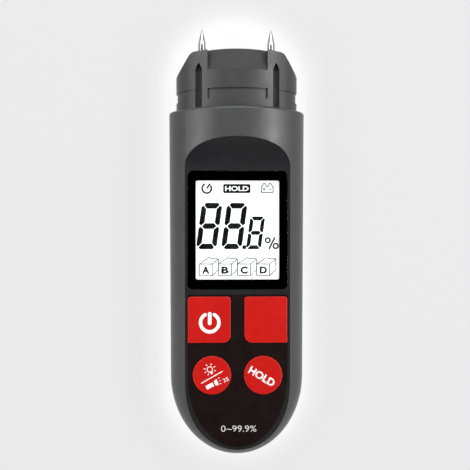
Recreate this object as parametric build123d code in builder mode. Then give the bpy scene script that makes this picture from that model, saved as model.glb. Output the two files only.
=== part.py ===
from build123d import *
import math
import os

# A two-pin wood moisture meter, lying on its back.
# +Z is its face, +Y runs along the pins and X runs across. Lengths are in millimetres.
# The origin is in the plane of the back, under the middle of the whole length.

# Housing outline and cross section
body_width = 40.0
body_depth = 25.0
rim_y = 39.0
rim_radius = 130.0
rim_round = 0.8
shoulder_y = -40.2
foot_length = 22.9
foot_half_width = 19.5
crown_radius = 32.0
front_edge_radius = 9.2
rear_edge_radius = 8.0
wall = 2.0
ellipse_handle = 0.5523

# Joint between the two shells
parting_z = 13.0
tongue_height = 1.2
joint_gap = 0.1

# Flat face with a scoop that runs up to the crown
face_z = 21.0
scoop_y = 21.2
scoop_radius = 11.8
panel_thickness = 1.8
floor_thickness = 1.6
panel_inset = 0.1
seat_inset = 0.05

# Display window and display
window_width = 29.2
window_height = 34.6
window_y = 2.75
window_corner = 1.6
window_thickness = 1.1
window_proud = 0.1
mask_thickness = 0.15
view_width = 24.4
view_height = 28.9
view_corner = 0.5
display_margin = 0.6
fit_gap = 0.1
frame_width = 28.2
frame_height = 33.4
frame_wall = 0.7
frame_lip = 0.55
glass_thickness = 1.5
guide_side_gap = 1.6
strip_width = 1.8
lamp_width = 1.2
lamp_length = 3.0
lamp_height = 1.0
lamp_pitch = 14.0

# Circuit board
board_top = 15.3
board_thickness = 1.2
board_notch_gap = 0.3
board_inset = 3.0
board_end_y = 30.0

# Face overlay
overlay_thickness = 0.3
overlay_proud = 0.1
overlay_top = -16.1
overlay_inset = 0.9

# Keys: a pair of square ones above a pair of round ones
square_key_top = -16.65
square_key_length = 13.55
square_key_inner = 1.96
square_key_outer = 14.55
key_corner = 0.9
key_inner_corner = 2.3
key_outer_corner = 0.25
round_key_diameter = 11.3
round_key_x = 7.47
round_key_y = -39.6
key_height = 0.6
key_gap = 0.12
key_travel = 0.4
key_wall = 1.2
key_edge_round = 0.3
flange_width = 0.6
flange_thickness = 0.8
flange_gap = 0.1
key_roof = 1.5
stem_diameter = 3.4
switch_size = 5.2
switch_height = 2.3
switch_foot = 0.7
switch_corner = 0.3
plunger_diameter = 2.8
plunger_height = 2.15
plunger_rise = 1.15
plunger_gap = 0.05

# Probe head
head_gap = 0.15
head_reach = 17.0
head_tail = 7.4
head_end_radius = 75.0
head_half_width = 18.0
head_shoulder = 8.6
head_corner_x = 13.7
head_corner_round = 2.5
head_edge_round = 0.5
ridge_reach = 10.8
ridge_tilt = 30.5
groove_start = 2.4
groove_width = 3.0
groove_depth = 0.35
panel_groove_depth = 0.8
rib_inner = 8.8
rib_width = 1.6
slot_width = 1.9
slot_reach = 12.8
slot_point = 1.9
slot_depth = 2.0
slot_run_in = 3.0
end_wall_height = 5.5
cavity_width = 27.0
cavity_height = 9.6
cavity_end = 4.0
collar_start = 2.4
collar_width = 1.0
collar_height = 0.9
collar_gap = 0.2

# Measuring pins and their sockets
pin_spacing = 20.54
pin_z = 12.5
pin_reach = 7.1
pin_diameter = 2.3
pin_taper = 5.9
pin_shaft_handle = 1.8
pin_tip_handle = 2.0
pin_tip_flare = 0.4
pin_collar_diameter = 2.8
pin_collar_length = 2.1
pin_collar_proud = 0.3
pin_shank_diameter = 2.0
pin_shank_length = 9.0
thread_gap = 0.03
socket_diameter = 4.4
socket_flange_diameter = 6.0
socket_flange = 1.0
socket_tail = 1.0
contact_strip = 0.4
contact_width = 2.4
contact_overlap = 3.0

# Torch in the end of the head
lens_diameter = 6.9
lens_thickness = 1.2
lens_recess = 0.3
lens_ledge = 0.25
led_diameter = 5.0
led_length = 8.6
led_gap = 0.1
led_flange_diameter = 5.8
led_flange = 1.0
led_set_back = 1.3
leg_size = 0.5
leg_spacing = 2.54
leg_overlap = 1.5

# Battery bay, cells and contacts
cell_diameter = 10.5
cell_length = 44.5
nub_diameter = 3.8
nub_length = 0.9
cell_gap = 0.25
cell_y = -29.25
cell_round = 0.4
bay_wall = 1.2
bay_side_gap = 0.65
upper_contact_space = 3.4
lower_contact_space = 2.7
plate_thickness = 0.4
plate_width = 7.5
plate_low = 3.8
plate_high = 10.6
tab_width = 2.2
spring_wire = 0.6
spring_diameter = 6.2
spring_turns = 2.5
spring_sides = 6
leaf_width = 3.6
leaf_rise = 4.4
leaf_tip = 1.6

# Battery door
door_thickness = 1.9
door_half_width = 12.5
door_top = 1.5
door_end_height = 7.0
door_gap = 0.25
door_seat_gap = 0.15
door_travel = 5.0
door_round = 0.4
tongue_reach = 2.4
tongue_root = 2.0
door_tongue_width = 8.0
door_tongue_thickness = 1.0
hook_length = 3.5
hook_thickness = 0.8
hook_gap = 0.15
hook_toe = 1.0
hook_high = 4.0
hook_toe_thickness = 0.9
hook_places = (-14.0, -38.0)
grip_count = 5
grip_pitch = 1.8
grip_width = 0.9
grip_length = 15.0
grip_depth = 0.5
grip_y = -12.0

# Screws and their posts
post_diameter = 5.2
screw_hole = 2.2
screw_pilot = 1.7
screw_diameter = 1.64
screw_head_diameter = 3.6
screw_head_height = 1.3
screw_head_round = 0.3
recess_length = 1.8
recess_width = 0.5
recess_depth = 0.6
housing_screw_seat = 5.6
housing_screw_length = 10.6
housing_screw_x = 14.2
housing_screw_y = 26.5
foot_screw_y = -57.8
board_post_diameter = 3.4
board_screw_length = 3.3
board_screws = ((-8.5, 24.8), (8.5, 24.8), (-14.5, -33.0), (14.5, -33.0))
post_bury = 1.4

# Parts on the board
controller_size = 10.0
controller_height = 1.4
controller_y = 14.0
amplifier_length = 5.0
amplifier_width = 4.0
amplifier_height = 1.5
amplifier_y = 25.0
chip_length = 2.0
chip_width = 1.25
chip_height = 0.6
lead_reach = 0.8
lead_width = 0.3
lead_thickness = 0.2
lead_pitch = 1.2
controller_leads = 7
amplifier_pitch = 1.27
amplifier_leads = 4
small_places = ((-9, 8), (-9, 12), (9, 9), (9, 14), (-6.5, 3), (6.5, 3), (-7, 19.5), (7, 19.5))

# Places worked out from the sizes above
foot_y = shoulder_y - foot_length
side_taper = (body_width / 2 - foot_half_width) / (rim_y - shoulder_y)
crown_axis_z = body_depth - crown_radius
overrun = 8.0
panel_seat_z = face_z - panel_thickness
floor_z = panel_seat_z - floor_thickness
window_top = face_z + window_proud
mask_top = window_top - window_thickness
window_seat = mask_top - mask_thickness
board_z = board_top - board_thickness
frame_top = panel_seat_z - fit_gap
glass_top = frame_top - frame_lip
guide_top = glass_top - glass_thickness
head_inset = wall + head_gap
head_end_y = rim_y + head_reach
tail_y = rim_y - head_tail
cavity_end_y = rim_y + cavity_end
collar_y = tail_y + collar_start
head_radius = crown_radius - head_inset
head_top_z = crown_axis_z + head_radius
pin_tip_y = head_end_y + pin_reach
pin_x = pin_spacing / 2
end_drop_at_pin = head_end_radius - math.sqrt(head_end_radius**2 - pin_x**2)
collar_end_y = head_end_y - end_drop_at_pin + pin_collar_proud
socket_end_y = collar_end_y - pin_collar_length
socket_start_y = cavity_end_y - socket_flange - socket_tail
cell_z = door_thickness + cell_gap + cell_diameter / 2 - fit_gap
cell_x = cell_diameter / 2 + fit_gap
cell_top_y = cell_y + cell_length / 2
cell_low_y = cell_y - cell_length / 2
bay_top_y = cell_top_y + upper_contact_space
bay_low_y = cell_low_y - lower_contact_space
bay_half = cell_x + cell_diameter / 2 + bay_side_gap
bay_roof = cell_z + cell_diameter / 2 + cell_gap
key_top = face_z + key_height
key_bottom = floor_z - flange_gap - flange_thickness
post_places = ((-housing_screw_x, housing_screw_y), (housing_screw_x, housing_screw_y), (0, foot_screw_y))

os.makedirs("parts", exist_ok=True)


def finish_piece(piece, name):
    """Name a finished piece and write it to its own STEP file."""
    piece.part.label = name
    export_step(piece.part, f"parts/{name}.step")


def rounded_outline(half, apex, top):
    """Plan with straight sides that taper to the shoulder, and a half ellipse for its foot."""
    top_half = half + side_taper * (top - shoulder_y)
    run = ellipse_handle * (shoulder_y - apex)
    reach = ellipse_handle * half
    low = shoulder_y - run
    turn = half - run * side_taper
    with BuildSketch() as outline:
        with BuildLine():
            Line((half, shoulder_y), (top_half, top))
            Line((top_half, top), (-top_half, top))
            Line((-top_half, top), (-half, shoulder_y))
            Bezier((-half, shoulder_y), (-turn, low), (-reach, apex), (0, apex))
            Bezier((0, apex), (reach, apex), (turn, low), (half, shoulder_y))
        make_face()
    return outline.sketch


def housing_outline(inset, top):
    """Plan of the housing, moved in by inset and run straight on to a given top."""
    return rounded_outline(foot_half_width - inset, foot_y + inset, top)


def housing_form(inset, top):
    """Pebble form of the housing: the plan, under a crowned front, with rounded edges."""
    with BuildPart() as form:
        with BuildSketch(Plane.XY.offset(inset)):
            add(housing_outline(inset, top))
        extrude(amount=body_depth)
        with BuildSketch(Plane.XZ.offset(-top - overrun)):
            with Locations((0, crown_axis_z)):
                Circle(crown_radius - inset)
        extrude(amount=top - foot_y + 2 * overrun, mode=Mode.INTERSECT)
        for place, radius in ((-1, front_edge_radius), (0, rear_edge_radius)):
            face = form.faces().sort_by(Axis.Z)[place]
            rim = face.edges().filter_by(lambda edge: edge.center().Y < top - rim_round)
            fillet(rim, radius=radius - inset)
    return form.part


def face_cut(drop=0.0):
    """All that lies above the flat face and its scoop, lowered by drop."""
    level = face_z - drop
    with BuildPart() as cut:
        with BuildSketch(Plane.YZ.offset(-body_width)):
            with BuildLine():
                Polyline(
                    (scoop_y, level + body_depth),
                    (foot_y - overrun, level + body_depth),
                    (foot_y - overrun, level),
                    (scoop_y, level),
                    close=True,
                )
            make_face()
            with Locations((scoop_y, level + scoop_radius)):
                Circle(scoop_radius)
        extrude(amount=2 * body_width)
    return cut.part


def face_skin(inset):
    """The flat face and the scoop of a housing form moved in by inset."""
    with BuildPart() as skin:
        add(housing_form(inset, rim_y + overrun))
        add(face_cut(), mode=Mode.SUBTRACT)
    flat = skin.faces().filter_by(Axis.Z).sort_by(Axis.Z)[-1]
    curved = skin.faces().filter_by(GeomType.CYLINDER)
    scoop = curved.filter_by(lambda face: face.normal_at(face.center()).Y < -panel_inset
                             and face.center().Z > face_z).sort_by(Axis.Z)[0]
    return [flat, scoop]


def rim_disc(shift):
    """Plan inside the rim's curve, moved along the length by shift."""
    with BuildSketch() as disc:
        with Locations((0, rim_y - rim_radius + shift)):
            Circle(rim_radius)
    return disc.sketch


def band_ring(inset, depth, start, width):
    """Ring of a form's skin, depth thick, between two curves parallel to the rim."""
    with BuildPart() as ring:
        add(housing_form(inset, head_end_y + overrun))
        with BuildSketch():
            add(rim_disc(start + width))
        extrude(amount=body_depth, mode=Mode.INTERSECT)
        with BuildSketch():
            add(rim_disc(start))
        extrude(amount=body_depth, mode=Mode.SUBTRACT)
        add(housing_form(inset + depth, head_end_y + overrun), mode=Mode.SUBTRACT)
    return ring.part


def block(x_span, y_span, z_span):
    """Plain block between two corners, as a tool for cuts and clips."""
    width = x_span[1] - x_span[0]
    length = y_span[1] - y_span[0]
    with BuildPart() as tool:
        with BuildSketch(Plane.XY.offset(z_span[0])):
            with Locations((x_span[0] + width / 2, y_span[0] + length / 2)):
                Rectangle(width, length)
        extrude(amount=z_span[1] - z_span[0])
    return tool.part


def key_plan(kind, side, grow=0.0):
    """Plan of one key, grown all round by a clearance or a flange."""
    with BuildSketch() as plan:
        if kind == "round":
            with Locations((side * round_key_x, round_key_y)):
                Circle(round_key_diameter / 2 + grow)
        else:
            width = square_key_outer - square_key_inner
            middle = (square_key_outer + square_key_inner) / 2
            with Locations((side * middle, square_key_top - square_key_length / 2)):
                Rectangle(width, square_key_length)
            low = plan.vertices().group_by(Axis.Y)[0].sort_by(lambda corner: abs(corner.X))
            fillet(low[0], radius=key_inner_corner)
            fillet(plan.vertices().group_by(Axis.Y)[-1], radius=key_corner)
            outer = plan.vertices().group_by(Axis.Y)[0].sort_by(lambda corner: abs(corner.X))[-1]
            fillet(outer, radius=key_outer_corner)
            if grow:
                offset(amount=grow, kind=Kind.ARC, mode=Mode.REPLACE)
    return plan.sketch


keys = {
    "power": ("square", -1),
    "select": ("square", 1),
    "light": ("round", -1),
    "hold": ("round", 1),
}


def key_centre(kind, side):
    """Middle of a key, where its switch stands."""
    if kind == "round":
        return (side * round_key_x, round_key_y)
    middle = (square_key_outer + square_key_inner) / 2
    return (side * middle, square_key_top - square_key_length / 2)


# Solids that the shells are cut from
with BuildPart() as housing_blank:
    add(housing_form(0, rim_y + overrun))
    with BuildSketch():
        add(rim_disc(0))
    extrude(amount=body_depth, mode=Mode.INTERSECT)
    rim_face = housing_blank.faces().filter_by(GeomType.CYLINDER).sort_by(Axis.Y)[-1]
    fillet(rim_face.edges(), radius=rim_round)

with BuildPart() as cavity:
    add(housing_form(wall, rim_y + overrun))
    add(face_cut(panel_thickness + floor_thickness), mode=Mode.SUBTRACT)

with BuildPart() as collar:
    add(housing_form(wall - collar_gap, rim_y + overrun))
    add(housing_form(wall + collar_height, rim_y + overrun), mode=Mode.SUBTRACT)
    add(block((-body_width, body_width), (collar_y, collar_y + collar_width), (0, body_depth)),
        mode=Mode.INTERSECT)

with BuildPart() as tongue:
    add(housing_form(wall / 2, rim_y + overrun))
    with BuildSketch():
        add(rim_disc(-wall))
    extrude(amount=body_depth, mode=Mode.INTERSECT)
    add(cavity.part, mode=Mode.SUBTRACT)
    add(block((-body_width, body_width), (foot_y, rim_y), (parting_z - tongue_height, parting_z + tongue_height)),
        mode=Mode.INTERSECT)

with BuildPart() as tongue_groove:
    add(housing_form(wall / 2 - joint_gap, rim_y + overrun))
    with BuildSketch():
        add(rim_disc(joint_gap - wall))
    extrude(amount=body_depth, mode=Mode.INTERSECT)
    add(block((-body_width, body_width), (foot_y, rim_y), (0, parting_z + tongue_height + joint_gap)),
        mode=Mode.INTERSECT)

bay_x = (-bay_half - bay_wall, bay_half + bay_wall)
bay_y = (bay_low_y - bay_wall, bay_top_y + bay_wall)
panel_seat = face_skin(seat_inset)
panel_skin = face_skin(panel_inset)

# Front shell with its face seat, key openings and posts
with BuildPart() as front_shell:
    add(housing_blank.part)
    add(face_cut(), mode=Mode.SUBTRACT)
    add(cavity.part, mode=Mode.SUBTRACT)
    extrude(panel_seat, amount=panel_thickness, dir=(0, 0, -1), mode=Mode.SUBTRACT)
    add(collar.part)
    add(block((-body_width, body_width), (foot_y, rim_y), (0, parting_z)), mode=Mode.SUBTRACT)
    add(tongue_groove.part, mode=Mode.SUBTRACT)
    with BuildSketch(Plane.XY.offset(parting_z)):
        with Locations(*post_places):
            Circle(post_diameter / 2)
    extrude(amount=floor_z + post_bury - parting_z)
    add(block(bay_x, (bay_y[0] - fit_gap, bay_y[1]), (parting_z - fit_gap, board_z)), mode=Mode.SUBTRACT)
    with BuildSketch(Plane.XY.offset(board_top)):
        with Locations(*board_screws):
            Circle(board_post_diameter / 2)
    extrude(amount=floor_z + post_bury - board_top)
    with BuildSketch(Plane.XY.offset(parting_z)):
        with Locations(*post_places, *board_screws):
            Circle(screw_pilot / 2)
    extrude(amount=floor_z - parting_z, mode=Mode.SUBTRACT)
    with BuildSketch(Plane.XY.offset(board_top)):
        with Locations((0, window_y)):
            Rectangle(frame_width + 2 * fit_gap, frame_height + 2 * fit_gap)
        for kind, side in keys.values():
            add(key_plan(kind, side, key_gap))
    extrude(amount=face_z - board_top, mode=Mode.SUBTRACT)

# Plan of the printed film, in from the edge that the flat face has on the rounded sides and foot
edge_x = foot_half_width - front_edge_radius
edge_z = crown_axis_z + math.sqrt((crown_radius - front_edge_radius) ** 2 - edge_x**2)
flat_half = edge_x + math.sqrt(front_edge_radius**2 - (face_z - edge_z) ** 2)
foot_edge_z = body_depth - front_edge_radius
flat_apex = foot_y + front_edge_radius - math.sqrt(front_edge_radius**2 - (face_z - foot_edge_z) ** 2)
film_plan = rounded_outline(flat_half - overlay_inset, flat_apex + overlay_inset, overlay_top)

# Dark face panel that lines the flat and the scoop
with BuildPart() as face_panel:
    extrude(panel_skin, amount=panel_thickness, dir=(0, 0, -1))
    with BuildSketch(Plane.XY.offset(window_seat)):
        with Locations((0, window_y)):
            RectangleRounded(window_width + 2 * fit_gap, window_height + 2 * fit_gap, window_corner + fit_gap)
    extrude(amount=face_z - window_seat, mode=Mode.SUBTRACT)
    with BuildSketch(Plane.XY.offset(panel_seat_z)):
        with Locations((0, window_y)):
            RectangleRounded(view_width + 2 * display_margin, view_height + 2 * display_margin, view_corner)
        for kind, side in keys.values():
            add(key_plan(kind, side, key_gap))
    extrude(amount=panel_thickness, mode=Mode.SUBTRACT)
    with BuildSketch(Plane.XY.offset(face_z + overlay_proud - overlay_thickness)):
        add(film_plan)
    extrude(amount=overlay_thickness, mode=Mode.SUBTRACT)

# Printed film over the key field
with BuildPart() as face_overlay:
    with BuildSketch(Plane.XY.offset(face_z + overlay_proud - overlay_thickness)):
        add(film_plan)
        for kind, side in keys.values():
            add(key_plan(kind, side, key_gap), mode=Mode.SUBTRACT)
    extrude(amount=overlay_thickness)

# Clear window with the dark mask printed under its margin
with BuildPart() as lcd_window:
    with BuildSketch(Plane.XY.offset(mask_top)):
        with Locations((0, window_y)):
            RectangleRounded(window_width, window_height, window_corner)
    extrude(amount=window_thickness)
    fillet(lcd_window.faces().sort_by(Axis.Z)[-1].edges(), radius=window_proud)

with BuildPart() as window_mask:
    with BuildSketch(Plane.XY.offset(window_seat)):
        with Locations((0, window_y)):
            RectangleRounded(window_width, window_height, window_corner)
            RectangleRounded(view_width, view_height, view_corner, mode=Mode.SUBTRACT)
    extrude(amount=mask_thickness)

# Display: a frame on the board holds the glass over its light guide and contact strips
inner_width = frame_width - 2 * frame_wall
inner_height = frame_height - 2 * frame_wall
strip_y = (inner_height - strip_width) / 2
with BuildPart() as lcd_frame:
    with BuildSketch(Plane.XY.offset(board_top)):
        with Locations((0, window_y)):
            Rectangle(frame_width, frame_height)
    extrude(amount=frame_top - board_top)
    with BuildSketch(Plane.XY.offset(board_top)):
        with Locations((0, window_y)):
            Rectangle(inner_width, inner_height)
    extrude(amount=glass_top - board_top, mode=Mode.SUBTRACT)
    with BuildSketch(Plane.XY.offset(glass_top)):
        with Locations((0, window_y)):
            Rectangle(view_width + 2 * display_margin, view_height + 2 * display_margin)
    extrude(amount=frame_lip, mode=Mode.SUBTRACT)

with BuildPart() as lcd_glass:
    with BuildSketch(Plane.XY.offset(guide_top)):
        with Locations((0, window_y)):
            Rectangle(inner_width - 2 * fit_gap, inner_height - 2 * fit_gap)
    extrude(amount=glass_thickness)

with BuildPart() as light_guide:
    with BuildSketch(Plane.XY.offset(board_top)):
        with Locations((guide_side_gap / 2, window_y)):
            Rectangle(inner_width - guide_side_gap - 2 * fit_gap, inner_height - 2 * strip_width - 4 * fit_gap)
    extrude(amount=guide_top - board_top)

with BuildPart() as contact_strips:
    with BuildSketch(Plane.XY.offset(board_top)):
        with Locations((0, window_y - strip_y + fit_gap), (0, window_y + strip_y - fit_gap)):
            Rectangle(inner_width - 2 * fit_gap, strip_width)
    extrude(amount=guide_top - board_top)

with BuildPart() as backlight_lamps:
    with BuildSketch(Plane.XY.offset(board_top)):
        with Locations((fit_gap - (inner_width - lamp_width) / 2, window_y)):
            with GridLocations(0, lamp_pitch, 1, 2):
                Rectangle(lamp_width, lamp_length)
    extrude(amount=lamp_height)

# Keys, each a hollow cap with a flange and a stem over its own switch
key_caps = {}
switches = {}
plungers = {}
for key_name, (kind, side) in keys.items():
    centre = key_centre(kind, side)
    with BuildPart() as cap:
        with BuildSketch(Plane.XY.offset(key_bottom)):
            add(key_plan(kind, side, flange_width))
        extrude(amount=flange_thickness)
        with BuildSketch(Plane.XY.offset(key_bottom)):
            add(key_plan(kind, side))
        extrude(amount=key_top - key_bottom)
        fillet(cap.faces().sort_by(Axis.Z)[-1].edges(), radius=key_edge_round)
        with BuildSketch(Plane.XY.offset(key_bottom)):
            add(key_plan(kind, side, -key_wall))
        extrude(amount=key_top - key_roof - key_bottom, mode=Mode.SUBTRACT)
        with BuildSketch(Plane.XY.offset(board_top + switch_height + plunger_rise)):
            with Locations(centre):
                Circle(stem_diameter / 2)
        extrude(amount=key_top - key_roof - board_top - switch_height - plunger_rise)
    key_caps[key_name] = cap

    with BuildPart() as switch:
        with BuildSketch(Plane.XY.offset(board_top)):
            with Locations(centre):
                Rectangle(switch_size, switch_size)
        extrude(amount=switch_height)
        chamfer(switch.edges().filter_by(Axis.Z), length=switch_corner)
        with BuildSketch(Plane.XY.offset(board_top + switch_foot)):
            with Locations(centre):
                Circle(plunger_diameter / 2 + plunger_gap)
        extrude(amount=switch_height - switch_foot, mode=Mode.SUBTRACT)
    switches[key_name] = switch

    with BuildPart() as plunger:
        with BuildSketch(Plane.XY.offset(board_top + switch_height + plunger_rise - plunger_height)):
            with Locations(centre):
                Circle(plunger_diameter / 2)
        extrude(amount=plunger_height)
    plungers[key_name] = plunger

# Circuit board, notched round the shell posts
with BuildPart() as main_board:
    with BuildSketch(Plane.XY.offset(board_z)):
        add(housing_outline(board_inset, board_end_y))
        with Locations(*post_places):
            Circle(post_diameter / 2 + board_notch_gap, mode=Mode.SUBTRACT)
        with Locations(*board_screws):
            Circle(screw_hole / 2, mode=Mode.SUBTRACT)
    extrude(amount=board_thickness)

with BuildPart() as controller_chip:
    with BuildSketch(Plane.XY.offset(board_z)):
        with Locations((0, controller_y)):
            Rectangle(controller_size, controller_size)
    extrude(amount=-controller_height)
    with BuildSketch(Plane.XY.offset(board_z)):
        with Locations((0, controller_y)):
            with GridLocations(0, lead_pitch, 1, controller_leads):
                Rectangle(controller_size + 2 * lead_reach, lead_width)
            with GridLocations(lead_pitch, 0, controller_leads, 1):
                Rectangle(lead_width, controller_size + 2 * lead_reach)
    extrude(amount=-lead_thickness)

with BuildPart() as amplifier_chip:
    with BuildSketch(Plane.XY.offset(board_z)):
        with Locations((0, amplifier_y)):
            Rectangle(amplifier_length, amplifier_width)
    extrude(amount=-amplifier_height)
    with BuildSketch(Plane.XY.offset(board_z)):
        with Locations((0, amplifier_y)):
            with GridLocations(amplifier_pitch, 0, amplifier_leads, 1):
                Rectangle(lead_width, amplifier_width + 2 * lead_reach)
    extrude(amount=-lead_thickness)

with BuildPart() as small_components:
    with BuildSketch(Plane.XY.offset(board_z)):
        with Locations(*small_places):
            Rectangle(chip_width, chip_length)
    extrude(amount=-chip_height)

# Rear shell: bay, screw posts and door opening
with BuildPart() as rear_inner:
    add(block(bay_x, bay_y, (door_thickness, bay_roof + bay_wall)))
    with BuildSketch(Plane.XY):
        with Locations(*post_places):
            Circle(post_diameter / 2)
    extrude(amount=parting_z)
    add(housing_form(wall / 2, rim_y + overrun), mode=Mode.INTERSECT)

with BuildPart() as door_opening:
    add(block((-door_half_width - door_gap, door_half_width + door_gap),
              (foot_y - overrun, door_top + door_gap), (-overrun, door_end_height + door_gap)))
    add(housing_form(door_thickness + door_seat_gap, rim_y + overrun), mode=Mode.SUBTRACT)

with BuildPart() as rear_shell:
    add(housing_blank.part)
    add(cavity.part, mode=Mode.SUBTRACT)
    add(collar.part)
    add(block((-body_width, body_width), (foot_y, head_end_y), (parting_z, 2 * body_depth)), mode=Mode.SUBTRACT)
    add(tongue.part)
    add(rear_inner.part)
    add(door_opening.part, mode=Mode.SUBTRACT)
    add(block((-bay_half, bay_half), (bay_low_y, bay_top_y), (0, bay_roof)), mode=Mode.SUBTRACT)
    with BuildSketch(Plane.XY):
        with Locations(*post_places):
            Circle(screw_head_diameter / 2 + hook_gap)
    extrude(amount=housing_screw_seat, mode=Mode.SUBTRACT)
    with BuildSketch(Plane.XY):
        with Locations(*post_places):
            Circle(screw_hole / 2)
    extrude(amount=parting_z, mode=Mode.SUBTRACT)
    notch_half = door_tongue_width / 2 + door_gap
    tongue_z = wall + fit_gap + door_tongue_thickness
    add(block((-notch_half, notch_half), (bay_top_y - fit_gap, bay_top_y + bay_wall + fit_gap),
              (door_thickness, tongue_z + hook_gap)), mode=Mode.SUBTRACT)
    for hook_y in hook_places:
        reach = hook_length / 2 + hook_gap
        for side in (-1, 1):
            span = sorted((side * (bay_half - fit_gap), side * (bay_half + bay_wall + fit_gap)))
            add(block(span, (hook_y - door_travel - reach, hook_y + reach),
                      (hook_high - hook_toe_thickness - hook_gap, hook_high + hook_gap)), mode=Mode.SUBTRACT)
            add(block(span, (hook_y - door_travel - reach, hook_y - door_travel + reach),
                      (0, hook_high + hook_gap)), mode=Mode.SUBTRACT)
    for side in (-1, 1):
        span = (side * cell_x - tab_width / 2 - hook_gap, side * cell_x + tab_width / 2 + hook_gap)
        add(block(span, (bay_top_y - plate_thickness - hook_gap, bay_top_y), (bay_roof - fit_gap, board_z)),
            mode=Mode.SUBTRACT)

# Battery door: skin of the back with a tongue, side hooks and a grip
with BuildPart() as battery_door:
    add(housing_blank.part)
    add(block((-door_half_width, door_half_width), (foot_y - overrun, door_top), (-overrun, door_end_height)),
        mode=Mode.INTERSECT)
    add(housing_form(door_thickness, rim_y + overrun), mode=Mode.SUBTRACT)
    add(block((-door_tongue_width / 2, door_tongue_width / 2), (door_top - tongue_root, door_top),
              (door_thickness - fit_gap, tongue_z)))
    add(block((-door_tongue_width / 2, door_tongue_width / 2), (door_top - fit_gap, door_top + tongue_reach),
              (wall + fit_gap, tongue_z)))
    for hook_y in hook_places:
        y_span = (hook_y - hook_length / 2, hook_y + hook_length / 2)
        for side in (-1, 1):
            root = sorted((side * (bay_half - hook_gap - hook_thickness), side * (bay_half - hook_gap)))
            toe = sorted((side * (bay_half - hook_gap - fit_gap), side * (bay_half - hook_gap + hook_toe)))
            add(block(root, y_span, (door_thickness - fit_gap, hook_high)))
            add(block(toe, y_span, (hook_high - hook_toe_thickness, hook_high)))
    with BuildSketch(Plane.XY):
        with Locations((0, grip_y)):
            with GridLocations(0, grip_pitch, 1, grip_count):
                SlotOverall(grip_length, grip_width)
    extrude(amount=grip_depth, mode=Mode.SUBTRACT)

# Cells: the left one points its nub up to the head, the right one down to the foot
cells = {}
for name, side in (("left_cell", -1), ("right_cell", 1)):
    cell_plane = Plane(origin=(side * cell_x, cell_y, cell_z), x_dir=(-side, 0, 0), z_dir=(0, 0, 1))
    with BuildPart() as cell:
        with BuildSketch(cell_plane):
            with BuildLine():
                Polyline(
                    (0, -cell_length / 2),
                    (cell_diameter / 2, -cell_length / 2),
                    (cell_diameter / 2, cell_length / 2 - nub_length),
                    (nub_diameter / 2, cell_length / 2 - nub_length),
                    (nub_diameter / 2, cell_length / 2),
                    (0, cell_length / 2),
                    close=True,
                )
            make_face()
        revolve(axis=Axis((side * cell_x, cell_y, cell_z), (0, 1, 0)))
        rims = cell.edges().filter_by(GeomType.CIRCLE).filter_by(
            lambda edge: edge.radius > cell_diameter / 2 - fit_gap)
        fillet(rims, radius=cell_round)
    cells[name] = cell


def contact_leaf(x, wall_y, tip_y):
    """Bowed leaf of a contact plate, from the bay wall out to a cell's nub."""
    toward = 1 if tip_y > wall_y else -1
    foot = wall_y + toward * plate_thickness
    back = tip_y - toward * plate_thickness
    half_rise = leaf_rise / 2
    with BuildPart() as leaf:
        with BuildSketch(Plane.YZ.offset(x - leaf_width / 2)):
            with BuildLine():
                Polyline(
                    (foot, cell_z - half_rise - plate_thickness),
                    (tip_y, cell_z - leaf_tip / 2),
                    (tip_y, cell_z + leaf_tip / 2),
                    (foot, cell_z + half_rise + plate_thickness),
                    (foot, cell_z + half_rise),
                    (back, cell_z + leaf_tip / 2 - fit_gap),
                    (back, cell_z - leaf_tip / 2 + fit_gap),
                    (foot, cell_z - half_rise),
                    close=True,
                )
            make_face()
        extrude(amount=leaf_width)
    return leaf.part


# Supply contacts at the upper wall of the bay, with tabs up to the board
with BuildPart() as positive_contact:
    add(block((-cell_x - plate_width / 2, -cell_x + plate_width / 2),
              (bay_top_y - plate_thickness, bay_top_y), (plate_low, plate_high)))
    add(block((-cell_x - tab_width / 2, -cell_x + tab_width / 2),
              (bay_top_y - plate_thickness, bay_top_y), (plate_high, board_z)))
    add(contact_leaf(-cell_x, bay_top_y, cell_top_y))

with BuildPart() as negative_contact:
    add(block((cell_x - plate_width / 2, cell_x + plate_width / 2),
              (bay_top_y - plate_thickness, bay_top_y), (plate_low, plate_high)))
    add(block((cell_x - tab_width / 2, cell_x + tab_width / 2),
              (bay_top_y - plate_thickness, bay_top_y), (plate_high, board_z)))

# Bridge contact at the foot, which joins the two cells
with BuildPart() as bridge_contact:
    add(block((-cell_x - plate_width / 2, cell_x + plate_width / 2),
              (bay_low_y, bay_low_y + plate_thickness), (plate_low, plate_high)))
    add(contact_leaf(cell_x, bay_low_y, cell_low_y))

# Coil springs that press on the flat ends of the cells
spring_ends = (
    (cell_x, cell_top_y, bay_top_y - plate_thickness - cell_top_y),
    (-cell_x, bay_low_y + plate_thickness, cell_low_y - bay_low_y - plate_thickness),
)
with BuildPart() as battery_springs:
    for x, start, space in spring_ends:
        height = space - spring_wire
        middle = (x, start + spring_wire / 2, cell_z)
        radius = (spring_diameter - spring_wire) / 2
        with BuildLine() as coil:
            Helix(height / spring_turns, height, radius, center=middle, direction=(0, 1, 0))
        with BuildSketch(Plane(origin=coil.line @ 0, z_dir=coil.line % 0)):
            RegularPolygon(spring_wire / 2, spring_sides)
        sweep(path=coil.line, is_frenet=True)

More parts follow.
